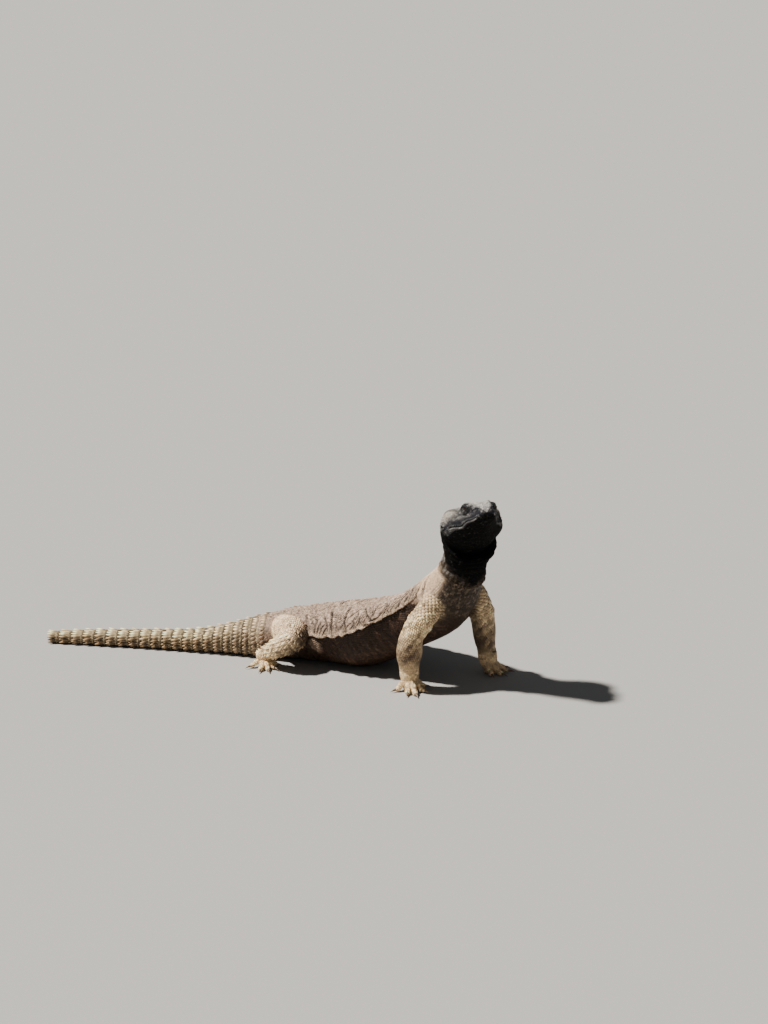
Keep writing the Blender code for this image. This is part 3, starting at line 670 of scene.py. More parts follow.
def apply_union(obj, others):
    """One union of obj with the others, applied, and the others removed."""
    group = bpy.data.collections.new(obj.name + "_tools")
    bpy.context.scene.collection.children.link(group)
    for other in others:
        bpy.context.scene.collection.objects.unlink(other)
        group.objects.link(other)
    modifier = obj.modifiers.new("join", "BOOLEAN")
    modifier.operation = "UNION"
    modifier.operand_type = "COLLECTION"
    modifier.collection = group
    modifier.solver = "MANIFOLD"
    graph = bpy.context.evaluated_depsgraph_get()
    made = bpy.data.meshes.new_from_object(obj.evaluated_get(graph), depsgraph=graph)
    obj.modifiers.clear()
    obj.data = made
    made.materials.clear()
    for other in others:
        bpy.data.objects.remove(other)
    bpy.data.collections.remove(group)


def neighbour_mean(count, edges):
    """A function that gives the mean of a value over each point's neighbours."""
    ends, others = np.concatenate([edges, edges[:, ::-1]]).T
    degree = np.maximum(np.bincount(ends, minlength=count), 1)

    def mean(value):
        if value.ndim > 1:
            return np.stack([mean(column) for column in value.T], -1)
        return np.bincount(ends, value[others], minlength=count) / degree

    return mean


def skin_object():
    """One closed skin of body, legs and feet, eased where they meet, with its source places and their parts."""
    body = body_tube()
    limbs = [body]
    for name in LEGS:
        surface = lambda share, turn, leg=name: leg_points(leg, share, turn)
        limbs.append(limb_tube(name + "_tube", *LEG_GRID, surface))
    for name in FEET:
        palm, toes, _ = foot_paths(name)
        surface = lambda share, turn, path=palm: palm_points(path, share, turn)
        limbs.append(limb_tube(name + "_palm", *PALM_GRID, surface))
        for number, toe in enumerate(toes):
            surface = lambda share, turn, toe=toe: toe_points(*toe, share, turn)
            limbs.append(limb_tube(f"{name}_toe_{number}", *TOE_GRID, surface))
    sources = [mesh_arrays(limb.data)[0] for limb in limbs]
    owner = np.repeat(np.arange(len(sources)), [len(points) for points in sources])
    names = [limb.name for limb in limbs]
    sources = np.concatenate(sources)
    apply_union(body, limbs[1:])
    keep_largest(body)
    source = tree_over(sources)
    points, edges = mesh_arrays(body.data)
    found = [source.find(point)[1:] for point in points]
    nearest, reach = (np.array(column) for column in zip(*found))
    part = owner[nearest]
    joints = tree_over(points[reach > JOINT_MOVE])
    away = np.array([joints.find(point)[2] for point in points])
    width = np.where(np.array(["foot" in name for name in names])[part], FOOT_EASE, LEG_EASE)
    weight = 0.65 * fall(away, 0.25 * width, width)[:, None]
    mean = neighbour_mean(len(points), edges)
    for _ in range(EASE_ROUNDS):
        points = points + (mean(points) - points) * weight
    points[:, 2] = np.maximum(points[:, 2], 0)
    body.data.vertices.foreach_set("co", to_scene(points).ravel())
    body.data.update()
    body.name = body.data.name = "skin"
    return body, sources[nearest], part, names


def keep_largest(obj):
    """Drops all but the largest closed surface of the mesh."""
    points, edges = mesh_arrays(obj.data)
    label = np.arange(len(points))
    while True:
        low = np.minimum(label[edges[:, 0]], label[edges[:, 1]])
        fresh = label.copy()
        np.minimum.at(fresh, edges[:, 0], low)
        np.minimum.at(fresh, edges[:, 1], low)
        fresh = fresh[fresh]
        if (fresh == label).all():
            break
        label = fresh
    main = np.bincount(label).argmax()
    scraps = np.flatnonzero(label != main)
    if len(scraps):
        bm = bmesh.new()
        bm.from_mesh(obj.data)
        bm.verts.ensure_lookup_table()
        bmesh.ops.delete(bm, geom=[bm.verts[k] for k in scraps], context="VERTS")
        bm.to_mesh(obj.data)
        bm.free()


def colour(red, green, blue):
    """A screen colour, 0 to 255, as linear light."""
    value = np.array([red, green, blue]) / 255
    return np.where(value <= 0.04045, value / 12.92, ((value + 0.055) / 1.055) ** 2.4)


BACK = colour(172, 149, 130)
BACK_DARK = colour(128, 106, 90)
BACK_PALE = colour(228, 198, 166)
FLANK = colour(128, 107, 91)
# BELLY and CHEST are the underside's own dark brown, set darker still as painted shade on the parts that face
# down.
BELLY = colour(50, 34, 24)
BELLY_PALE = colour(108, 84, 64)
CHEST = colour(52, 42, 33)
CHEST_PALE = colour(136, 117, 98)
BLACK = colour(5, 5, 5)
SLATE = colour(40, 40, 46)
# Painted shade for the band above the mouth.
SLATE_SHADE = colour(18, 20, 26)
SLATE_PALE = colour(188, 184, 178)
TEMPLE = colour(196, 186, 172)
CREAM = colour(242, 211, 166)
TAIL_PALE = colour(254, 226, 176)
TAIL_DARK = colour(92, 70, 50)
TAIL_OLIVE = colour(114, 86, 58)
LEG_DARK = colour(114, 92, 72)
THIGH_SHADE = colour(54, 40, 30)


def blend(base, other, share):
    """The base with a share of the other colour over it."""
    return base + (other - base) * np.asarray(share)[..., None]


def mottle(points, fine, ripples, least, most):
    """A shade, about one, that breaks up the markings."""
    return np.clip(1 + fine * FINE(points * 0.8) + ripples * RIPPLES(points * 1.7), least, most)[:, None]


def head_tint(along, lift, patches, specks, fine):
    """Markings of the head: a pale temple, painted light on the crown and the snout's side, painted shade above
    the mouth and round the eye, and a painted highlight on the lower lip.
    """
    back, offset = SNOUT_AT - along, lift - mouth_at(along)
    on_lips = ease(back, 3, 8) * fall(back, 36, 42)
    tint = blend(SLATE, SLATE_PALE, 0.4 * ease(specks + 0.4 * patches, 0.1, 0.9))
    # Painted light on the crown and brow.
    tint = blend(tint, SLATE_PALE, (0.85 - 0.35 * ease(specks + fine, 0, 0.8)) * ease(lift, 44, 64))
    tint = blend(tint, TEMPLE, 0.7 * bump(lift, 26, 16, 18) * bump(back, 40, 9, 12))
    # Painted light on the snout's side.
    tint = blend(tint, SLATE_PALE, 0.25 * bump(lift, 8, 8, 7) * bump(back, 18, 9, 14))
    # Painted shade in a band above the mouth.
    tint = blend(tint, SLATE_SHADE, 0.9 * bump(offset, 7, 6, 9) * on_lips)
    # Painted shade: the eye's socket black under the brow.
    tint = blend(tint, BLACK, 0.95 * bump(lift, 31, 13, 11) * bump(back, 17, 8, 9))
    # Painted highlight on the lower lip.
    tint = blend(tint, SLATE_PALE, 0.2 * bump(offset, -3.2, 1.8, 1.6) * on_lips)
    return blend(tint, SLATE_PALE, 0.25 * bump(offset, -7, 6, 5) * bump(back, 36, 5, 6))


def bib(along, lift, specks):
    """The black of throat and neck, 0 to 1: its edge on the chest, behind the cheek and below the lips."""
    back = SNOUT_AT - along
    edge = NECK_AT + np.interp(lift, (-90, -60, -12, 10, 24), (6, 14, 19, 28, 60))
    top = np.interp(back, (40, 48, 58), (-20, -10, 8))
    lip = mouth_at(along) - 5 - 6 * bump(back, 36, 6, 7)
    share = ease(along + 3 * specks, edge - 3, edge + 3) * fall(lift + 5 * specks, top, top + 13)
    return share * (1 - fall(back, 40, 46) * ease(lift, lip - 5, lip + 1))


def body_tint(along, lift, points):
    """Markings of the body by place along it, lift and the noise fields, with painted shade in the creases and
    tail grooves and on chest and belly, and painted light on the flap's lower edge and the shoulders.
    """
    patches, specks, fine = PATCHES(points), SPECKS(points), FINE(points)
    place, past = along - VENT_AT, along - NECK_AT
    tint = blend(BACK, BACK_DARK, 0.55 * ease(patches + 0.6 * specks, 0.1, 0.9))
    tint = blend(tint, FLANK, fall(lift, 15, 50))
    # Painted highlight along the lower edge of the flank's flap.
    rim = bump(lift, fold_edge(along) + 4, 4, 7) * ease(place, 50, 70) * fall(past, -60, -20)
    tint = blend(tint, BACK_PALE, 0.4 * rim) * mottle(points, 0.45, 0.3, 0.4, 1.4)
    low = fold_edge(along) - 36 * ease(past, -52, -34)
    # The belly's own dark brown, set darker as painted shade.
    belly = blend(BELLY, BELLY_PALE, 0.5 * ease(patches * 0.5 + specks * 0.4 + fine, 0.3, 1))
    tint = blend(tint, belly, fall(lift + 4 * specks, low - 9, low + 1) * ease(place, -10, 30))
    tint = blend(tint, FLANK, 0.8 * ease(groin_web(place, lift), 0.35, 0.7))
    # Painted light: the sides of neck and shoulders made pale as if sunlit, with an edge above the chest.
    shoulder_light = ease(past, -45, -30) * fall(past, 4, 16)
    tint = blend(tint, BACK_PALE, 0.8 * shoulder_light * ease(lift, -22, -4))
    deep, swell = loose_creases(along, lift, points)
    # Painted shade along the loose skin's creases and painted highlight on the swell beside them.
    tint = tint * (1 - 0.86 * deep + 0.2 * swell)[:, None]
    # The chest's own dark brown, set darker as painted shade, on surfaces that face down.
    chest = blend(CHEST, CHEST_PALE, 0.85 * ease(0.5 * specks + 1.3 * fine + 0.3 * patches, 0.2, 1.1))
    tint = blend(tint, chest, ease(past + 12 * patches, -50, -8) * fall(lift + 5 * patches, -26, 2))
    tint = blend(tint, chest, 0.75 * ease(past + 6 * patches, 2, 18))
    nape = blend(CHEST, SLATE_PALE, 0.55 * ease(specks + 0.4 * patches, -0.1, 0.8))
    tint = blend(tint, nape, ease(past + 6 * patches, 6, 30))
    head = head_tint(along, lift, patches, specks, fine)
    tint = blend(tint, head, ease(along + 5 * patches, HEAD_AT - 8, HEAD_AT + 10))
    tint = blend(tint, BLACK, bib(along, lift, specks) * (1 - 0.35 * ease(FINE(points * 1.2), 0.5, 0.9)))
    turn = whorl_turn(along) % 1
    tail = blend(TAIL_PALE, TAIL_DARK, 0.35 * ease(patches + specks, 0.2, 1))
    # Painted shade in the grooves between whorls.
    tail = blend(tail, TAIL_DARK, 0.9 * (fall(turn, 0.04, 0.22) + ease(turn, 0.58, 0.9)))
    tail = blend(tail, BACK_DARK, 0.45 * ease(place, -60, 0) * ease(lift, -20, 60))
    bands = 0.5 + 0.5 * np.sin(2 * math.pi * place / 10.5 + 0.6 * patches)
    tint = blend(tint, TAIL_DARK, 0.6 * bands * fall(place, 12, 34) * ease(place, -4, 6))
    return blend(tint, tail, fall(place, -3, 14))


def limb_tint(name, points):
    """Markings of a leg or foot, with painted shade under the thigh and on the left foreleg's side towards the
    body.
    """
    patches, specks = PATCHES(points * 1.4), SPECKS(points * 1.2)
    x, _, height = points.T
    tint = blend(CREAM, LEG_DARK, 0.8 * ease(patches * 0.7 + specks, 0, 0.7))
    if "fore" in name:
        tint = blend(tint, LEG_DARK, 0.75 * bump(height, 42, 17, 17))
        tint = blend(tint, CHEST, 0.5 * bump(height, 44, 18, 16) * ease(specks, -0.3, 0.5))
    else:
        tint = blend(tint, BACK_PALE, 0.7 * ease(height, 30, 46))
        # Painted shade on the lower and far side of thigh and knee, turned away from the light.
        shade = np.maximum(bump(height, 24, 13, 12) * ease(x, -20, 0), ease(x, -3, 16) * fall(height, 44, 56))
        tint = blend(tint, THIGH_SHADE, 0.9 * shade * ease(patches + 0.5 * specks, -1.8, -0.2))
    # Painted shadow: the left foreleg darkened on its side towards the body, as if in the chest's shadow.
    if name.startswith("foreleg_left"):
        middle, _, level = np.array(LEGS["foreleg_left"])[::-1, :3].T
        inner_shadow = ease(np.interp(height, level, middle) - x, -3, 6)
        tint = blend(tint, CHEST, 0.75 * inner_shadow * ease(height, 8, 30))
    if "foot" in name:
        tint = blend(tint, CREAM, 0.8 if "hind" in name else 0.3)
    return tint * mottle(points, 0.6, 0.35, 0.35, 1.25)


def nearest_places(source):
    """Along and lift of the body for each point, taken from the body's own grid."""
    half = column_lifts()
    along = np.repeat(body_stops(), len(half) * 2)
    lift = settle(along, np.tile(half, 2 * len(body_stops())))
    side = np.tile(np.repeat([1.0, -1.0], len(half)), len(body_stops()))
    tree = tree_over(body_points(along, lift, side, BODY_INSET))
    found = np.array([tree.find(point)[1] for point in source])
    return along[found], lift[found]


def cavity(points, mean, normals):
    """How deep each point lies in a fold, from about -1 on ridges to 1 in creases."""
    value = mean(mean(mean(points)))
    depth = np.einsum("ij,ij->i", value - points, normals)
    for _ in range(2):
        depth = (depth + mean(depth)) / 2
    return np.clip(depth / 0.35, -1, 1)


def set_tint(mesh, tint):
    """Writes the markings on the mesh, one colour to a point."""
    layer = mesh.color_attributes.new("tint", "FLOAT_COLOR", "POINT")
    colours = np.column_stack([np.clip(tint, 0, 1), np.ones(len(tint))])
    layer.data.foreach_set("color", colours.astype(np.float32).ravel())


class Surface:
    """The finished skin with its markings and their painted shade and light, ready to be read at any place near
    it.
    """

    def __init__(self):
        self.obj, source, self.part, names = skin_object()
        mesh = self.obj.data
        points, edges = mesh_arrays(mesh)
        mean = neighbour_mean(len(points), edges)
        normals = np.empty(len(points) * 3)
        mesh.vertices.foreach_get("normal", normals)
        hollow = cavity(points, mean, normals.reshape(-1, 3))
        tint = body_tint(*nearest_places(source), source)
        for number, name in enumerate(names[1:], 1):
            mine = self.part == number
            tint[mine] = limb_tint(name, source[mine])
        self.mix_joints(edges, mean, tint)
        # Painted shade in the skin's creases and folds and painted highlight on its ridges; the scales take both
        # with the tint.
        self.tint = tint * (1 - 0.68 * np.clip(hollow, 0, 1) + 0.16 * np.clip(-hollow, 0, 1))[:, None]
        set_tint(mesh, self.tint * UNDER_SCALES)
        mesh.shade_smooth()
        faces = [tuple(face.vertices) for face in mesh.polygons]
        self.corner, _, self.opposite = np.array([face[:3] for face in faces]).T
        self.tree = BVHTree.FromPolygons([tuple(point) for point in points], faces)

    def mix_joints(self, edges, mean, tint):
        """Lets the markings of legs and body run into each other."""
        near = np.zeros(len(tint))
        near[edges[self.part[edges[:, 0]] != self.part[edges[:, 1]]].ravel()] = 1
        for _ in range(MIX_ROUNDS):
            near = np.maximum(near, mean(near))
            tint += (mean(tint) - tint) * np.minimum(near * 2, 1)[:, None]

    def read(self, points, limit):
        """Snaps places to the skin. Gives the kept ones' numbers, places, normals, markings and parts."""
        found = [(number, *self.tree.find_nearest(Vector(point), limit)) for number, point in enumerate(points)]
        kept, places, normals, faces, _ = zip(*(row for row in found if row[1] is not None))
        corner, opposite = self.corner[np.array(faces)], self.opposite[np.array(faces)]
        tint = (self.tint[corner] + self.tint[opposite]) / 2
        return np.array(kept), np.array(places), np.array(normals), tint, self.part[corner]


def finish(obj, material, slot, *solids):
    """Gives a piece its material, hides the solids it stands for and sets it on the body it rides on; slot is
    not used.
    """
    obj.data.shade_smooth()
    obj.data.materials.append(material)
    if solids:
        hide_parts(*solids)
    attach(obj, "root")


def template(bm):
    """A scale's points and faces from a bmesh, for joined copies."""
    bm.verts.index_update()
    points = np.array([vert.co for vert in bm.verts])
    faces = [[vert.index for vert in face.verts] for face in bm.faces]
    bm.free()
    return points, faces


def granule(sides=6):
    """A low bead, one across and one high, its root sunk."""
    bm = bmesh.new()
    bmesh.ops.create_cone(bm, cap_ends=True, segments=sides, radius1=0.56, radius2=0.36, depth=1.0)
    top = [face for face in bm.faces if face.normal.z > 0.9]
    bmesh.ops.poke(bm, faces=top, offset=0.22)
    bmesh.ops.translate(bm, verts=bm.verts, vec=(0.0, 0.0, 0.22))
    return template(bm)


def shield(point=0.35, lift=0.6):
    """An overlapping scale: low in front, raised and pointed behind. X runs from its front to its tip."""
    bm = bmesh.new()
    bmesh.ops.create_cone(bm, cap_ends=True, segments=8, radius1=0.58, radius2=0.5, depth=0.5)
    top = [face for face in bm.faces if face.normal.z > 0.9]
    bmesh.ops.poke(bm, faces=top, offset=0.12)
    for vert in bm.verts:
        x, y, z = vert.co
        share = x + 0.5
        vert.co.y = y * (1.0 - point * max(share, 0.0) ** 3)
        vert.co.x = x * (1.0 + point * 0.35 * (1 if x > 0.4 else 0))
        vert.co.z = z + 0.1 + (lift * share if z > 0 else 0.0)
    return template(bm)


def thorn(rings=5, sides=8, reach=1.45, keel=0.35, blunt=1.3):
    """A spine: its root covers the scale and its tip stands up and back. X runs from its front to its tip."""
    bm = bmesh.new()
    bmesh.ops.create_cone(bm, cap_ends=True, segments=sides, radius1=0.5, radius2=0.02, depth=1.0)
    sides_of = [edge for edge in bm.edges if abs(edge.verts[0].co.z - edge.verts[1].co.z) > 0.5]
    bmesh.ops.subdivide_edges(bm, edges=sides_of, cuts=rings - 1)
    for vert in bm.verts:
        x, y, z = vert.co
        share = z + 0.5
        width = 1.0 - share**blunt
        full = 0.5 * (1.0 - share) + 0.02 * share
        across, along = y / full * 0.5, x / full * 0.5
        ridge = keel * (1 - min(abs(across) * 2.2, 1.0)) * (1 - share)
        vert.co.y = across * width
        vert.co.x = along * width * 0.98 + share**1.15 * (reach - 0.5)
        vert.co.z = share * (1.0 + 0.18 * share) - 0.14 + ridge * (0.5 if along > -0.3 else 0.2)
    return template(bm)


def joined(name, shape, sites, sizes, tint, uv, slot, material, tone=1.0):
    """Copies of a scale joined on the sites, turned to the coat's lie, in pieces small enough to export."""
    base, faces = shape
    places, ahead, normals = sites
    across = unit(np.cross(normals, ahead))
    ways = np.stack([np.cross(across, normals), across, normals], 1)
    loops = np.concatenate(faces)
    starts = np.cumsum([0] + [len(face) for face in faces[:-1]])
    most = PIECE_TRIANGLES // sum(len(face) - 2 for face in faces)
    pieces = np.array_split(np.arange(len(places)), max(1, math.ceil(len(places) / most)))
    for number, chunk in enumerate(pieces):
        points = places[chunk][:, None]
        for axis in range(3):
            reach = base[None, :, axis] * sizes[chunk, axis, None]
            points = points + ways[chunk, axis][:, None] * reach[..., None]
        points = points.reshape(-1, 3)
        points[:, 2] = np.maximum(points[:, 2], 0.05)
        shift = np.arange(len(chunk))[:, None]
        mesh = bpy.data.meshes.new(f"{name}_{number + 1}")
        mesh.vertices.add(len(points))
        mesh.vertices.foreach_set("co", to_scene(points).astype(np.float32).ravel())
        mesh.loops.add(len(loops) * len(chunk))
        mesh.loops.foreach_set("vertex_index", (loops + shift * len(base)).ravel().astype(np.int32))
        mesh.polygons.add(len(faces) * len(chunk))
        mesh.polygons.foreach_set("loop_start", (starts + shift * len(loops)).ravel().astype(np.int32))
        mesh.update(calc_edges=True)
        mesh.validate()
        shade = tint[chunk][:, None] * (np.ones(len(base)) * tone)[None, :, None]
        set_tint(mesh, shade.reshape(-1, 3))
        layer = mesh.uv_layers.new(name="OFBake")
        spread = base[None, loops, :2] * PATCH + uv[chunk][:, None]
        layer.data.foreach_set("uv", spread.astype(np.float32).ravel())
        finish(new_object(mesh.name, mesh), material, slot)


def body_uv(along, lift, side):
    """Places of the body on the flat map of its own shape: length across, girth up."""
    girth = (lift + 90) / 360
    return np.column_stack([0.01 + 0.98 * along / SNOUT_AT, 0.01 + 0.54 * np.where(side > 0, girth, 1 - girth)])


def limb_uv(band, share, turn):
    """Places of a leg, palm or toe on the flat map, each in its own cell above the body's."""
    column, row, columns = band
    turn = (turn / (2 * math.pi)) % 1
    return np.column_stack([(column + 0.06 + 0.88 * share) * (1 / columns), 0.57 + row * 0.14 + 0.12 * turn])


def ring_places(points, spacing, stagger, low, high):
    """Even places along each row of a grid of points, as shares of the row, every second row shifted."""
    steps = np.linalg.norm(np.diff(points, axis=1), axis=2)
    arcs = np.concatenate([np.zeros((len(points), 1)), np.cumsum(steps, axis=1)], axis=1)
    shares = np.linspace(low, high, points.shape[1])
    rows, found = [], []
    for row, arc in enumerate(arcs):
        wanted = (np.arange(int(arc[-1] / spacing)) + 0.25 + 0.5 * ((row + stagger) % 2)) * spacing
        found.append(np.interp(wanted, arc, shares))
        rows.append(np.full(len(wanted), row))
    return np.concatenate(rows), np.concatenate(found)


def body_sites(first, last, spacing, low, high, chance):
    """Staggered rows of scale places on the body as along, lift and side, a spacing in mm apart."""
    stops = np.arange(first, last, spacing * ROW_STEP)
    along = np.repeat(stops, BODY_COLUMNS)
    lift = np.tile(np.linspace(low, high, BODY_COLUMNS), len(stops))
    found = []
    for side in (1.0, -1.0):
        grid = body_points(along, lift, np.full(len(along), side), BODY_INSET)
        grid = grid.reshape(len(stops), BODY_COLUMNS, 3)
        rows, lifts = ring_places(grid, spacing, int(side > 0), low, high)
        jitter = chance.normal(scale=0.1 * spacing, size=len(rows))
        found.append(np.column_stack([stops[rows] + jitter, lifts, np.full(len(rows), side)]))
    return np.concatenate(found)


def lie_of_body(places):
    """Where body places are in mm, and the way towards the tail there."""
    along, lift, side = places.T
    here = body_points(along, lift, side, BODY_INSET)
    behind = body_points(along - 1.2, lift, side, BODY_INSET)
    return here, unit(behind - here)


def turned(ahead, normals, chance, spread):
    """The lie turned a little about each normal."""
    swing = chance.normal(scale=math.radians(spread), size=len(ahead))[:, None]
    return unit(ahead * np.cos(swing) + np.cross(normals, ahead) * np.sin(swing))


def body_coat(surface, name, first, last, spacing, low, high, shape, height, seed, slot, material, limit):
    """One kind of scale over a stretch of the body."""
    chance = np.random.default_rng(seed)
    sites = body_sites(first, last, spacing, low, high, chance)
    here, ahead = lie_of_body(sites)
    kept, places, normals, tint, part = surface.read(here, limit)
    kept, places, normals, tint = (column[part == 0] for column in (kept, places, normals, tint))
    ahead = turned(ahead[kept], normals, chance, 5)
    sizes = np.array([spacing * 1.15, spacing, height]) * chance.uniform(0.85, 1.15, (len(kept), 1))
    shade = tint * chance.uniform(0.74, 1.3, (len(kept), 1))
    # Painted shade at each granule's front and painted highlight at its back.
    tone = 0.72 + 0.46 * ease(shape[0][:, 0], -0.4, 0.4)
    joined(name, shape, (places, ahead, normals), sizes, shade, body_uv(*sites[kept].T), slot, material, tone)


def limb_coat(
    name, surface, material, place, length, spacing, shape, height,
    seed, band, span, limit, share_of, tone, wide,
):
    """Scales over a leg, palm or toe, given its surface function of share and turn."""
    chance = np.random.default_rng(seed)
    rows = max(int(length * (span[1] - span[0]) / (spacing * ROW_STEP)), 2)
    stops = np.linspace(*span, rows)
    turns = np.linspace(0, 2 * math.pi, LIMB_COLUMNS)
    grid = place(np.repeat(stops, LIMB_COLUMNS), np.tile(turns, rows)).reshape(rows, LIMB_COLUMNS, 3)
    row, turn = ring_places(grid, spacing * wide, 0, 0, 2 * math.pi)
    share = stops[row]
    here = place(share, turn)
    onward = place(np.minimum(share + 0.01, 1.01), turn)
    kept, places, normals, tint, _ = surface.read(here, limit)
    if share_of is not None:
        chosen = chance.uniform(size=len(kept)) < share_of(share[kept], places)
        kept, places, normals, tint = (column[chosen] for column in (kept, places, normals, tint))
    ahead = turned(unit(onward[kept] - here[kept]), normals, chance, 6)
    sizes = np.array([spacing * 1.2, spacing * wide, height]) * chance.uniform(0.85, 1.15, (len(kept), 1))
    shade = tint * chance.uniform(0.68, 1.15, (len(kept), 1))
    uv = limb_uv(band, share[kept], turn[kept])
    joined(name, shape, (places, ahead, normals), sizes, shade, uv, "leg_skin", material, tone)


def tail_coat(surface, material):
    """The whorls of spines round the tail, largest on its sides, with small scales in the grooves between."""
    chance = np.random.default_rng(31)
    shape = thorn(keel=0.16, blunt=2.6)
    dense = np.linspace(-90, 90, BODY_COLUMNS)
    sites, sizes = [], []
    for whorl in range(WHORLS + 2):
        at = whorl_place(whorl + 0.47)
        long = whorl_place(whorl + 1) - whorl_place(whorl)
        girth = 0.55 + 0.45 * track(KNOTS, ROWS, np.array([at]))[0, 5] / ROWS[4, 5]
        for side in (1.0, -1.0):
            grid = body_points(np.full_like(dense, at), dense, np.full_like(dense, side), TAIL_INSET)[None]
            _, lift = ring_places(grid, 4.3 * girth, whorl + int(side > 0), -90, 90)
            count = len(lift)
            reach = 0.5 + 0.5 * bump(lift, 10, 28, 30) - 0.15 * (lift < -40)
            grown = 0.3 + 0.15 * (at < VENT_AT) + 0.55 * ease(VENT_AT - at, 5, 80)
            grown = chance.uniform(0.85, 1.15, count) * grown
            places = at + chance.normal(scale=0.25, size=count)
            sites.append(np.column_stack([places, lift, np.full(count, side)]))
            wide = np.full((count, 2), (0.6 * long, 4.25 * girth))
            sizes.append(np.column_stack([wide, 3.6 * girth * reach * grown]))
    sites, sizes = np.concatenate(sites), np.concatenate(sizes)
    here, ahead = lie_of_body(sites)
    kept, places, _, tint, part = surface.read(here, 5.0)
    kept, places, tint = kept[part == 0], places[part == 0], tint[part == 0]
    along, lift, _ = sites[kept].T
    outward = unit(places - track(KNOTS, ROWS, along)[:, :3])
    ahead = turned(ahead[kept], outward, chance, 4)
    sizes = sizes[kept]
    sizes[places[:, 2] < 1.2, 2] = 0.5
    # The spines' own olive on the tail's sides and cream on top; the olive is set darker as painted shade on the
    # lower sides.
    olive = blend(TAIL_OLIVE, TAIL_PALE, ease(lift + 10 * SPECKS(places), 12, 50))
    olive = blend(olive, BACK_DARK, 0.6 * ease(along, VENT_AT - 80, VENT_AT))
    tint = blend(tint, olive, 0.85) * chance.uniform(0.74, 1.2, (len(kept), 1))
    # Painted shade at each spine's root and painted highlight at its tip.
    tone = 0.32 + 1.2 * ease(shape[0][:, 0], 0.15, 0.65)
    uv = body_uv(*sites[kept].T)
    joined("tail_spines", shape, (places, ahead, outward), sizes, tint, uv, "tail_scales", material, tone)
    small = body_sites(2, VENT_AT + 6, 1.7, -90, 90, chance)
    small = small[(whorl_turn(small[:, 0]) % 1 > 0.66) | (small[:, 0] > VENT_AT - 4)]
    here, ahead = lie_of_body(small)
    kept, places, normals, tint, _ = surface.read(here, 4.0)
    size = np.array([2.0, 1.7, 0.6]) * chance.uniform(0.8, 1.2, (len(kept), 1))
    # Painted shade: the small scales in the grooves between whorls set far darker than the skin there.
    shade = tint * chance.uniform(0.25, 0.5, (len(kept), 1))
    uv = body_uv(*small[kept].T)
    joined("tail_scales", shield(), (places, ahead[kept], normals), size, shade, uv, "tail_scales", material)


def lid_beads(surface, material, chance):
    """Rings of beads on the lids."""
    places, aheads, sizes, sites = [], [], [], []
    for side in (1.0, -1.0):
        centre, out, over = eye_axes(side)
        for ring in range(4):
            wide, high = 4.75 + 0.72 * ring, 2.55 + 0.72 * ring
            count = int(9 * (wide + high) / (3 * (0.62 + 0.08 * ring)))
            for turn in np.linspace(0, 2 * math.pi, count, endpoint=False) + 0.1 * ring:
                across, up = wide * math.cos(turn), high * math.sin(turn)
                start = centre + HEAD_AXES[0] * across + over * (up - SLIT_LOW)
                place, _, _, _ = surface.tree.ray_cast(Vector(start + out * 14), Vector(-out), 16.0)
                if place is not None:
                    places.append(place)
                    aheads.append(HEAD_AXES[0] * -math.sin(turn) + over * math.cos(turn))
                    sizes.append([0.78 + 0.1 * ring, 0.7 + 0.08 * ring, 0.42])
                    sites.append([SNOUT_AT + EYE_PLACE[0] + across, 28 + 3 * up, side])
    _, places, normals, tint, _ = surface.read(places, 1.0)
    tint = blend(tint, SLATE_PALE, 0.06) * chance.uniform(0.8, 1.25, (len(tint), 1))
    lie = (places, np.array(aheads), normals)
    spread = body_uv(*np.array(sites).T)
    joined("lid_beads", granule(), lie, np.array(sizes), tint, spread, "dark_head_skin", material)


def head_coat(surface, material):
    """Beads of the lids, the shields along the lips and the short spines before the ears."""
    chance = np.random.default_rng(41)
    lid_beads(surface, material, chance)
    lips = []
    for side in (1.0, -1.0):
        for offset, size in ((4.6, 1.9), (-4.8, 1.9), (9.5, 1.6), (-9.8, 1.6)):
            along = SNOUT_AT - np.arange(2.2, 38, size)
            side_and_size = np.full((len(along), 2), (side, size))
            lips.append(np.column_stack([along, mouth_at(along) + offset, side_and_size]))
    lips = np.concatenate(lips)
    here, ahead = lie_of_body(lips[:, :3])
    kept, places, normals, tint, _ = surface.read(here, 1.5)
    size = lips[kept, 3:] * np.array([1.08, 1.0, 0.36])
    shade = blend(tint, SLATE_PALE, 0.06) * chance.uniform(0.85, 1.2, (len(kept), 1))
    lie, uv = (places, ahead[kept], normals), body_uv(*lips[kept, :3].T)
    joined("lip_shields", granule(8), lie, size, shade, uv, "dark_head_skin", material)
    spikes = body_sites(SNOUT_AT - 54, SNOUT_AT - 44, 2.7, -8, 34, chance)
    here, ahead = lie_of_body(spikes)
    kept, places, normals, tint, _ = surface.read(here, 1.5)
    size = np.array([1.9, 1.9, 1.7]) * chance.uniform(0.7, 1.2, (len(kept), 1))
    lie, uv = (places, ahead[kept], normals), body_uv(*spikes[kept].T)
    shade = blend(tint, SLATE_PALE, 0.2)
    joined("ear_spines", thorn(3, 6, 1.2, 0.1), lie, size, shade, uv, "dark_head_skin", material)


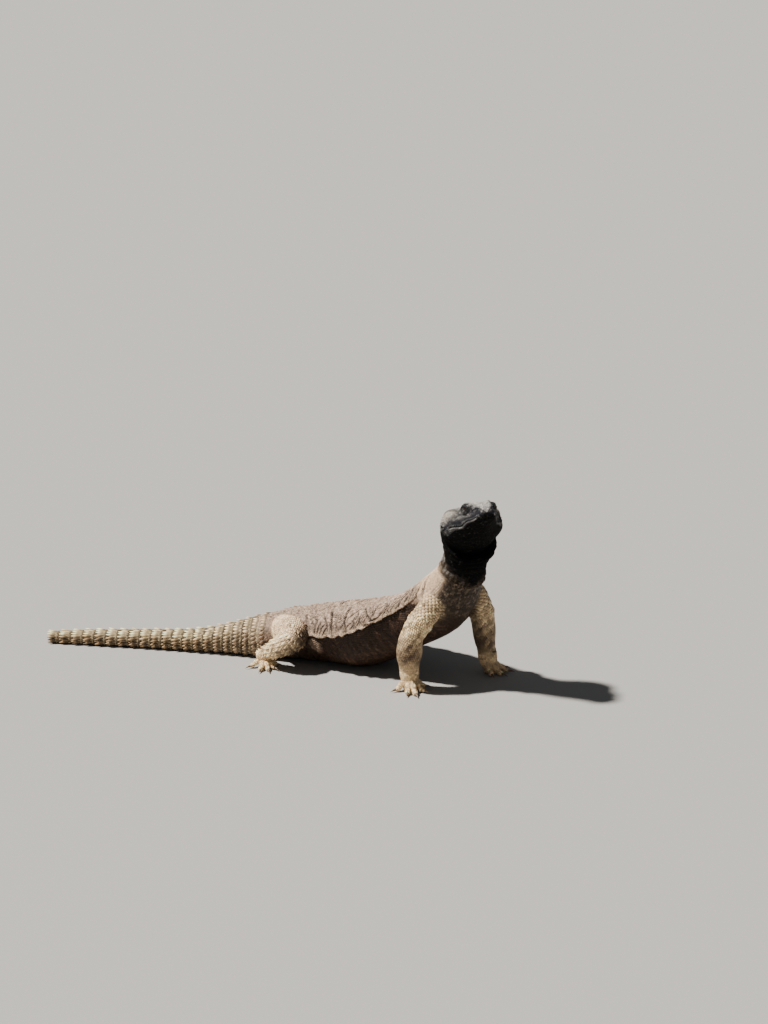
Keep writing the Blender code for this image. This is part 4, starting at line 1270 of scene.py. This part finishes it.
def leg_and_foot_coat(surface, material):
    """Overlapping scales of legs, palms and toes, with spiny tubercles on thighs and shanks."""
    plate, spike = shield(), thorn(3, 7, 1.25, 0.2)
    # Painted shade at each scale's front and painted highlight at its tip; on the upper arm this draws the
    # shaded gaps between rows of scales as bars.
    edge = 0.62 + 0.62 * ease(plate[0][:, 0], -0.45, 0.45)
    bars = 0.5 + 0.75 * ease(plate[0][:, 0], -0.3, 0.4)
    tips = 0.5 + 0.95 * ease(spike[0][:, 0], -0.2, 0.6)

    def upper(share, places):
        return fall(share + 0.05 * SPECKS(places), 0.4, 0.46)

    def lower(share, places):
        return ease(share + 0.05 * SPECKS(places), 0.38, 0.42)

    def spiny(share, places):
        return (0.08 + 0.82 * ease(share, 0.4, 0.56)) * ease(share, 0.22, 0.4) * ease(places[:, 2], 8, 16)

    # Each kind of scale: name, spacing, shape, height, seed, stretch of the leg, where it stands, shade, width.
    kinds = {
        "fore": (
            ("upper_scales", 2.5, plate, 0.95, 60, (0.08, 0.52), upper, bars, 2),
            ("scales", 2.4, plate, 0.75, 60, (0.34, 1), lower, edge, 1),
        ),
        "hind": (
            ("scales", 2.2, plate, 0.7, 60, (0.08, 1), None, edge, 1),
            ("tubercles", 4.4, spike, 2.1, 61, (0.2, 0.97), spiny, tips, 1),
        ),
    }
    for number, name in enumerate(LEGS):
        length = limb_track(LEGS[name], [0])[0]
        place = lambda share, turn: leg_points(name, share, turn)
        for word, spacing, shape, height, seed, span, share_of, tone, wide in kinds[name[:4]]:
            limb_coat(
                f"{name}_{word}", surface, material, place, length, spacing, shape, height,
                seed + 3 * number, (number, 0, 4), span, 1.6, share_of, tone, wide,
            )
    for number, name in enumerate(FEET):
        palm, toes, _ = foot_paths(name)
        seed = 72 + 9 * number
        place = lambda share, turn: palm_points(palm, share, turn)
        limb_coat(
            name + "_palm_scales", surface, material, place, 22, 1.7, plate, 0.45,
            seed, (number * 6, 1, 24), (0, 0.95), 1.0, None, 1.0, 1,
        )
        for toe, (path, slope) in enumerate(toes, 1):
            place = lambda share, turn: toe_points(path, slope, share, turn)
            limb_coat(
                f"{name}_toe_{toe}_scales", surface, material, place,
                limb_track(path, [0])[0], 1.55, plate, 0.42,
                seed + toe, (number * 6 + toe, 1, 24), (0.15, 0.93), 0.8, None, 1.0, 1,
            )


def claws(material):
    """Hooked claws that come out of the toes and down to the ground."""
    up = np.array([0.0, 0.0, 1.0])
    for name in FEET:
        _, toes, size = foot_paths(name)
        for number, (path, slope) in enumerate(toes):
            root = np.array(path[-1][:3])
            level = unit(slope * (1, 1, 0))
            across = np.cross(level, up)

            def place(i, j):
                share, turn = i / (CLAW_RINGS - 1), 2 * math.pi * j / CLAW_RINGS
                ahead = share * (CLAW_LENGTH + GAP + 1.3) - 1.4
                rise = 0.55 * np.sin(share * 2.2) - (root[2] - 0.45) * share**1.9
                full = 1.45 * size * (1 - share**1.4) + 0.1
                centre = root + level * ahead[:, None] + up * rise[:, None]
                wide, high = np.cos(turn) * full * 0.78, np.sin(turn) * full
                points = centre + across * wide[:, None] + up * high[:, None]
                points[:, 2] = np.maximum(points[:, 2], 0.12)
                return points

            hook = tube(f"{name}_hook_{number + 1}", CLAW_RINGS, CLAW_RINGS, place)
            finish(hook, material, "horn", f"{name}_claw_{number + 1}")


# The eye's colours, and how squarely a place has to face out to lie in pupil or iris.
PUPIL, EYEBALL = colour(6, 5, 5), colour(30, 24, 20)
IRIS_BROWN, IRIS_RIM = colour(66, 44, 26), colour(34, 24, 16)
PUPIL_EDGE, IRIS_EDGE = 0.925, 0.76


def eyes(material):
    """Eyeballs behind the lids, with a dark pupil, a brown iris and a slight bulge of the cornea."""
    radius = EYE_RADIUS - 0.05
    for side, word in ((1.0, "left"), (-1.0, "right")):
        centre, out, over = eye_axes(side)
        bm = bmesh.new()
        bmesh.ops.create_uvsphere(bm, u_segments=48, v_segments=30, radius=radius)
        tint = []
        for vert in bm.verts:
            x, y, z = vert.co
            facing = z / radius
            z += 0.35 * float(ease(facing, 0.8, 0.96))
            vert.co = to_scene(centre + HEAD_AXES[0] * x + over * side * y + out * z)
            iris = blend(IRIS_BROWN, IRIS_RIM, ease(facing, 0.93, 0.86))
            tint.append(PUPIL if facing > PUPIL_EDGE else iris if facing > IRIS_EDGE else EYEBALL)
        bmesh.ops.recalc_face_normals(bm, faces=bm.faces)
        obj = object_of(bm, "eyeball_" + word)
        set_tint(obj.data, np.array(tint))
        finish(obj, material, "eye", "eye_" + word)


def surface_group():
    """A node group: a tint broken by fine grain, with matching roughness and height."""
    group = bpy.data.node_groups.new("reptile_surface", "ShaderNodeTree")
    for label, kind, value in (
        ("Tint", "NodeSocketColor", (0.5, 0.4, 0.3, 1.0)),
        ("Grain", "NodeSocketFloat", 600.0),
        ("Variation", "NodeSocketFloat", 0.2),
        ("Roughness", "NodeSocketFloat", 0.6),
    ):
        group.interface.new_socket(name=label, in_out="INPUT", socket_type=kind).default_value = value
    outputs = {"Tint": "NodeSocketColor", "Roughness": "NodeSocketFloat", "Height": "NodeSocketFloat"}
    for label, kind in outputs.items():
        group.interface.new_socket(name=label, in_out="OUTPUT", socket_type=kind)

    def math_node(operation, number, value):
        node = group.nodes.new("ShaderNodeMath")
        node.operation = operation
        node.inputs[number].default_value = value
        return node

    given, made = group.nodes.new("NodeGroupInput").outputs, group.nodes.new("NodeGroupOutput").inputs
    where, grain = group.nodes.new("ShaderNodeTexCoord"), group.nodes.new("ShaderNodeTexNoise")
    grain.inputs["Detail"].default_value = 3.0
    centred = math_node("SUBTRACT", 1, 0.5)
    share = math_node("MULTIPLY_ADD", 2, 1.0)
    rough = math_node("MULTIPLY_ADD", 1, 0.25)
    shade = group.nodes.new("ShaderNodeVectorMath")
    shade.operation = "SCALE"
    for source, target in (
        (where.outputs["Object"], grain.inputs["Vector"]),
        (given["Grain"], grain.inputs["Scale"]),
        (grain.outputs["Fac"], centred.inputs[0]),
        (centred.outputs[0], share.inputs[0]),
        (given["Variation"], share.inputs[1]),
        (given["Tint"], shade.inputs[0]),
        (share.outputs[0], shade.inputs["Scale"]),
        (centred.outputs[0], rough.inputs[0]),
        (given["Roughness"], rough.inputs[2]),
        (shade.outputs[0], made["Tint"]),
        (rough.outputs[0], made["Roughness"]),
        (grain.outputs["Fac"], made["Height"]),
    ):
        group.links.new(source, target)
    return group


def grained_material(name, group, grain, variation, roughness):
    """A material whose colour and roughness come from the group. Gives it with its nodes, links and effect."""
    material = bpy.data.materials.new(name)
    material.use_nodes = True
    nodes, links = material.node_tree.nodes, material.node_tree.links
    effect = nodes.new("ShaderNodeGroup")
    effect.node_tree = group
    effect.inputs["Grain"].default_value = grain
    effect.inputs["Variation"].default_value = variation
    effect.inputs["Roughness"].default_value = roughness
    for label, socket in (("Tint", "Base Color"), ("Roughness", "Roughness")):
        links.new(effect.outputs[label], nodes["Principled BSDF"].inputs[socket])
    return material, nodes, links, effect


def surface_material(name, group, grain, variation, roughness, bump_depth, coat=0.0, shine=0.22):
    """Skin, scale or eye: the markings, with the grain's height as a fine relief."""
    material, nodes, links, effect = grained_material(name, group, grain, variation, roughness)
    shader, markings = nodes["Principled BSDF"], nodes.new("ShaderNodeAttribute")
    relief = nodes.new("ShaderNodeBump")
    markings.attribute_name = "tint"
    relief.inputs["Strength"].default_value = 0.6
    relief.inputs["Distance"].default_value = bump_depth
    links.new(markings.outputs["Color"], effect.inputs["Tint"])
    links.new(effect.outputs["Height"], relief.inputs["Height"])
    links.new(relief.outputs["Normal"], shader.inputs["Normal"])
    shader.inputs["Coat Weight"].default_value = coat
    shader.inputs["Specular IOR Level"].default_value = shine
    return material


def claw_material(group):
    """Horn of one brown, broken by the grain alone."""
    material, _, _, effect = grained_material("claw_horn", group, 420.0, 0.9, 0.38)
    effect.inputs["Tint"].default_value = (*colour(120, 98, 76), 1.0)
    return material


def add_lamp(name, kind, way, power, shade):
    """A lamp that shines from the way given. Gives its object."""
    lamp = bpy.data.lights.new(name, kind)
    lamp.energy = power
    lamp.color = shade
    obj = new_object(name, lamp)
    obj.rotation_euler = Vector(way).to_track_quat("Z", "Y").to_euler()
    return obj


def floor_and_lights():
    """A plain pale floor with a key light from the left and above, and a weak fill from the front."""
    bm = bmesh.new()
    bmesh.ops.create_grid(bm, x_segments=1, y_segments=1, size=8.0)
    bmesh.ops.translate(bm, verts=bm.verts, vec=(0.1, 2.0, -0.0003))
    floor = object_of(bm, "floor")
    material = bpy.data.materials.new("floor_paint")
    material.use_nodes = True
    shader = material.node_tree.nodes["Principled BSDF"]
    shader.inputs["Base Color"].default_value = (0.34, 0.33, 0.314, 1.0)
    shader.inputs["Roughness"].default_value = 0.9
    floor.data.materials.append(material)
    way = (-0.5, -0.8, 0.35)
    fill = add_lamp("fill", "AREA", way, 0.4, (0.93, 0.96, 1.0))
    fill.data.shape = "DISK"
    fill.data.size = 1.6
    fill.location = np.array([0.12, 0.0, 0.07]) + unit(way) * 2.2
    key = add_lamp("key", "SUN", (-0.53, -0.03, 0.85), 9.0, (1.0, 0.965, 0.91))
    key.data.angle = math.radians(3.5)
    world = bpy.data.worlds.new("studio")
    world.use_nodes = True
    sky = world.node_tree.nodes["Background"].inputs
    sky["Color"].default_value = (0.86, 0.9, 0.96, 1.0)
    sky["Strength"].default_value = 0.14
    bpy.context.scene.world = world


# The photograph's view: degrees above the level, how far away, and the point it looks at, in mm.
CAMERA_TILT, CAMERA_AWAY, AIM_RIGHT, AIM_UP = 18.0, 3800.0, 104.4, 156.7


def camera():
    """The photograph's framing: the camera looks down at the animal's right side."""
    tilt = math.radians(CAMERA_TILT)
    aim = np.array([AIM_RIGHT, AIM_UP * math.sin(tilt), AIM_UP * math.cos(tilt)])
    lens = bpy.data.cameras.new("camera")
    lens.sensor_fit = "VERTICAL"
    lens.sensor_height = 36.0
    lens.lens = 120.0
    lens.clip_end = 50.0
    obj = new_object("camera", lens)
    obj.location = to_scene(aim - CAMERA_AWAY * np.array([0.0, math.cos(tilt), -math.sin(tilt)]))
    obj.rotation_euler = (math.radians(90.0) - tilt, 0.0, 0.0)
    bpy.context.scene.camera = obj


def main():
    """Builds the dressed animal, its floor, light and camera."""
    group = surface_group()
    hide = surface_material("living_skin", group, 900.0, 0.35, 0.62, 0.0004)
    scale = surface_material("scale_coat", group, 1500.0, 0.3, 0.52, 0.0001)
    spine = surface_material("spine_coat", group, 700.0, 0.4, 0.48, 0.0002)
    dark = surface_material("head_coat", group, 1500.0, 0.3, 0.72, 0.0001, shine=0.07)
    ball = surface_material("eye_gloss", group, 900.0, 0.1, 0.06, 0.00001, 1.0)
    surface = Surface()
    faces = surface.obj.data.polygons
    faces.foreach_set("material_index", np.zeros(len(faces), np.int32))
    flesh = [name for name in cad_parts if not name.startswith("eye") and "claw" not in name]
    finish(surface.obj, hide, "back_skin", *flesh)
    # Each coat: name, start, end, spacing, lowest and highest lift, shape, height, seed, slot, material, reach.
    for row in (
        ("trunk_scales", VENT_AT - 2, NECK_AT + 4, 1.7, 0, 90, granule(), 0.5, 21, "back_skin", scale, 1.6),
        ("belly_scales", VENT_AT - 2, NECK_AT + 4, 2.2, -90, -1, shield(), 0.35, 22, "back_skin", scale, 1.6),
        ("neck_scales", NECK_AT + 4, HEAD_AT + 2, 1.6, -90, 90, granule(), 0.5, 23, "back_skin", dark, 1.6),
        (
            "head_scales", HEAD_AT + 2, SNOUT_AT - 0.3, 1.75, -90, 90, granule(7), 0.42, 24,
            "dark_head_skin", dark, 1.2,
        ),
    ):
        body_coat(surface, *row)
    tail_coat(surface, spine)
    head_coat(surface, dark)
    leg_and_foot_coat(surface, spine)
    claws(claw_material(group))
    eyes(ball)
    floor_and_lights()
    camera()


main()
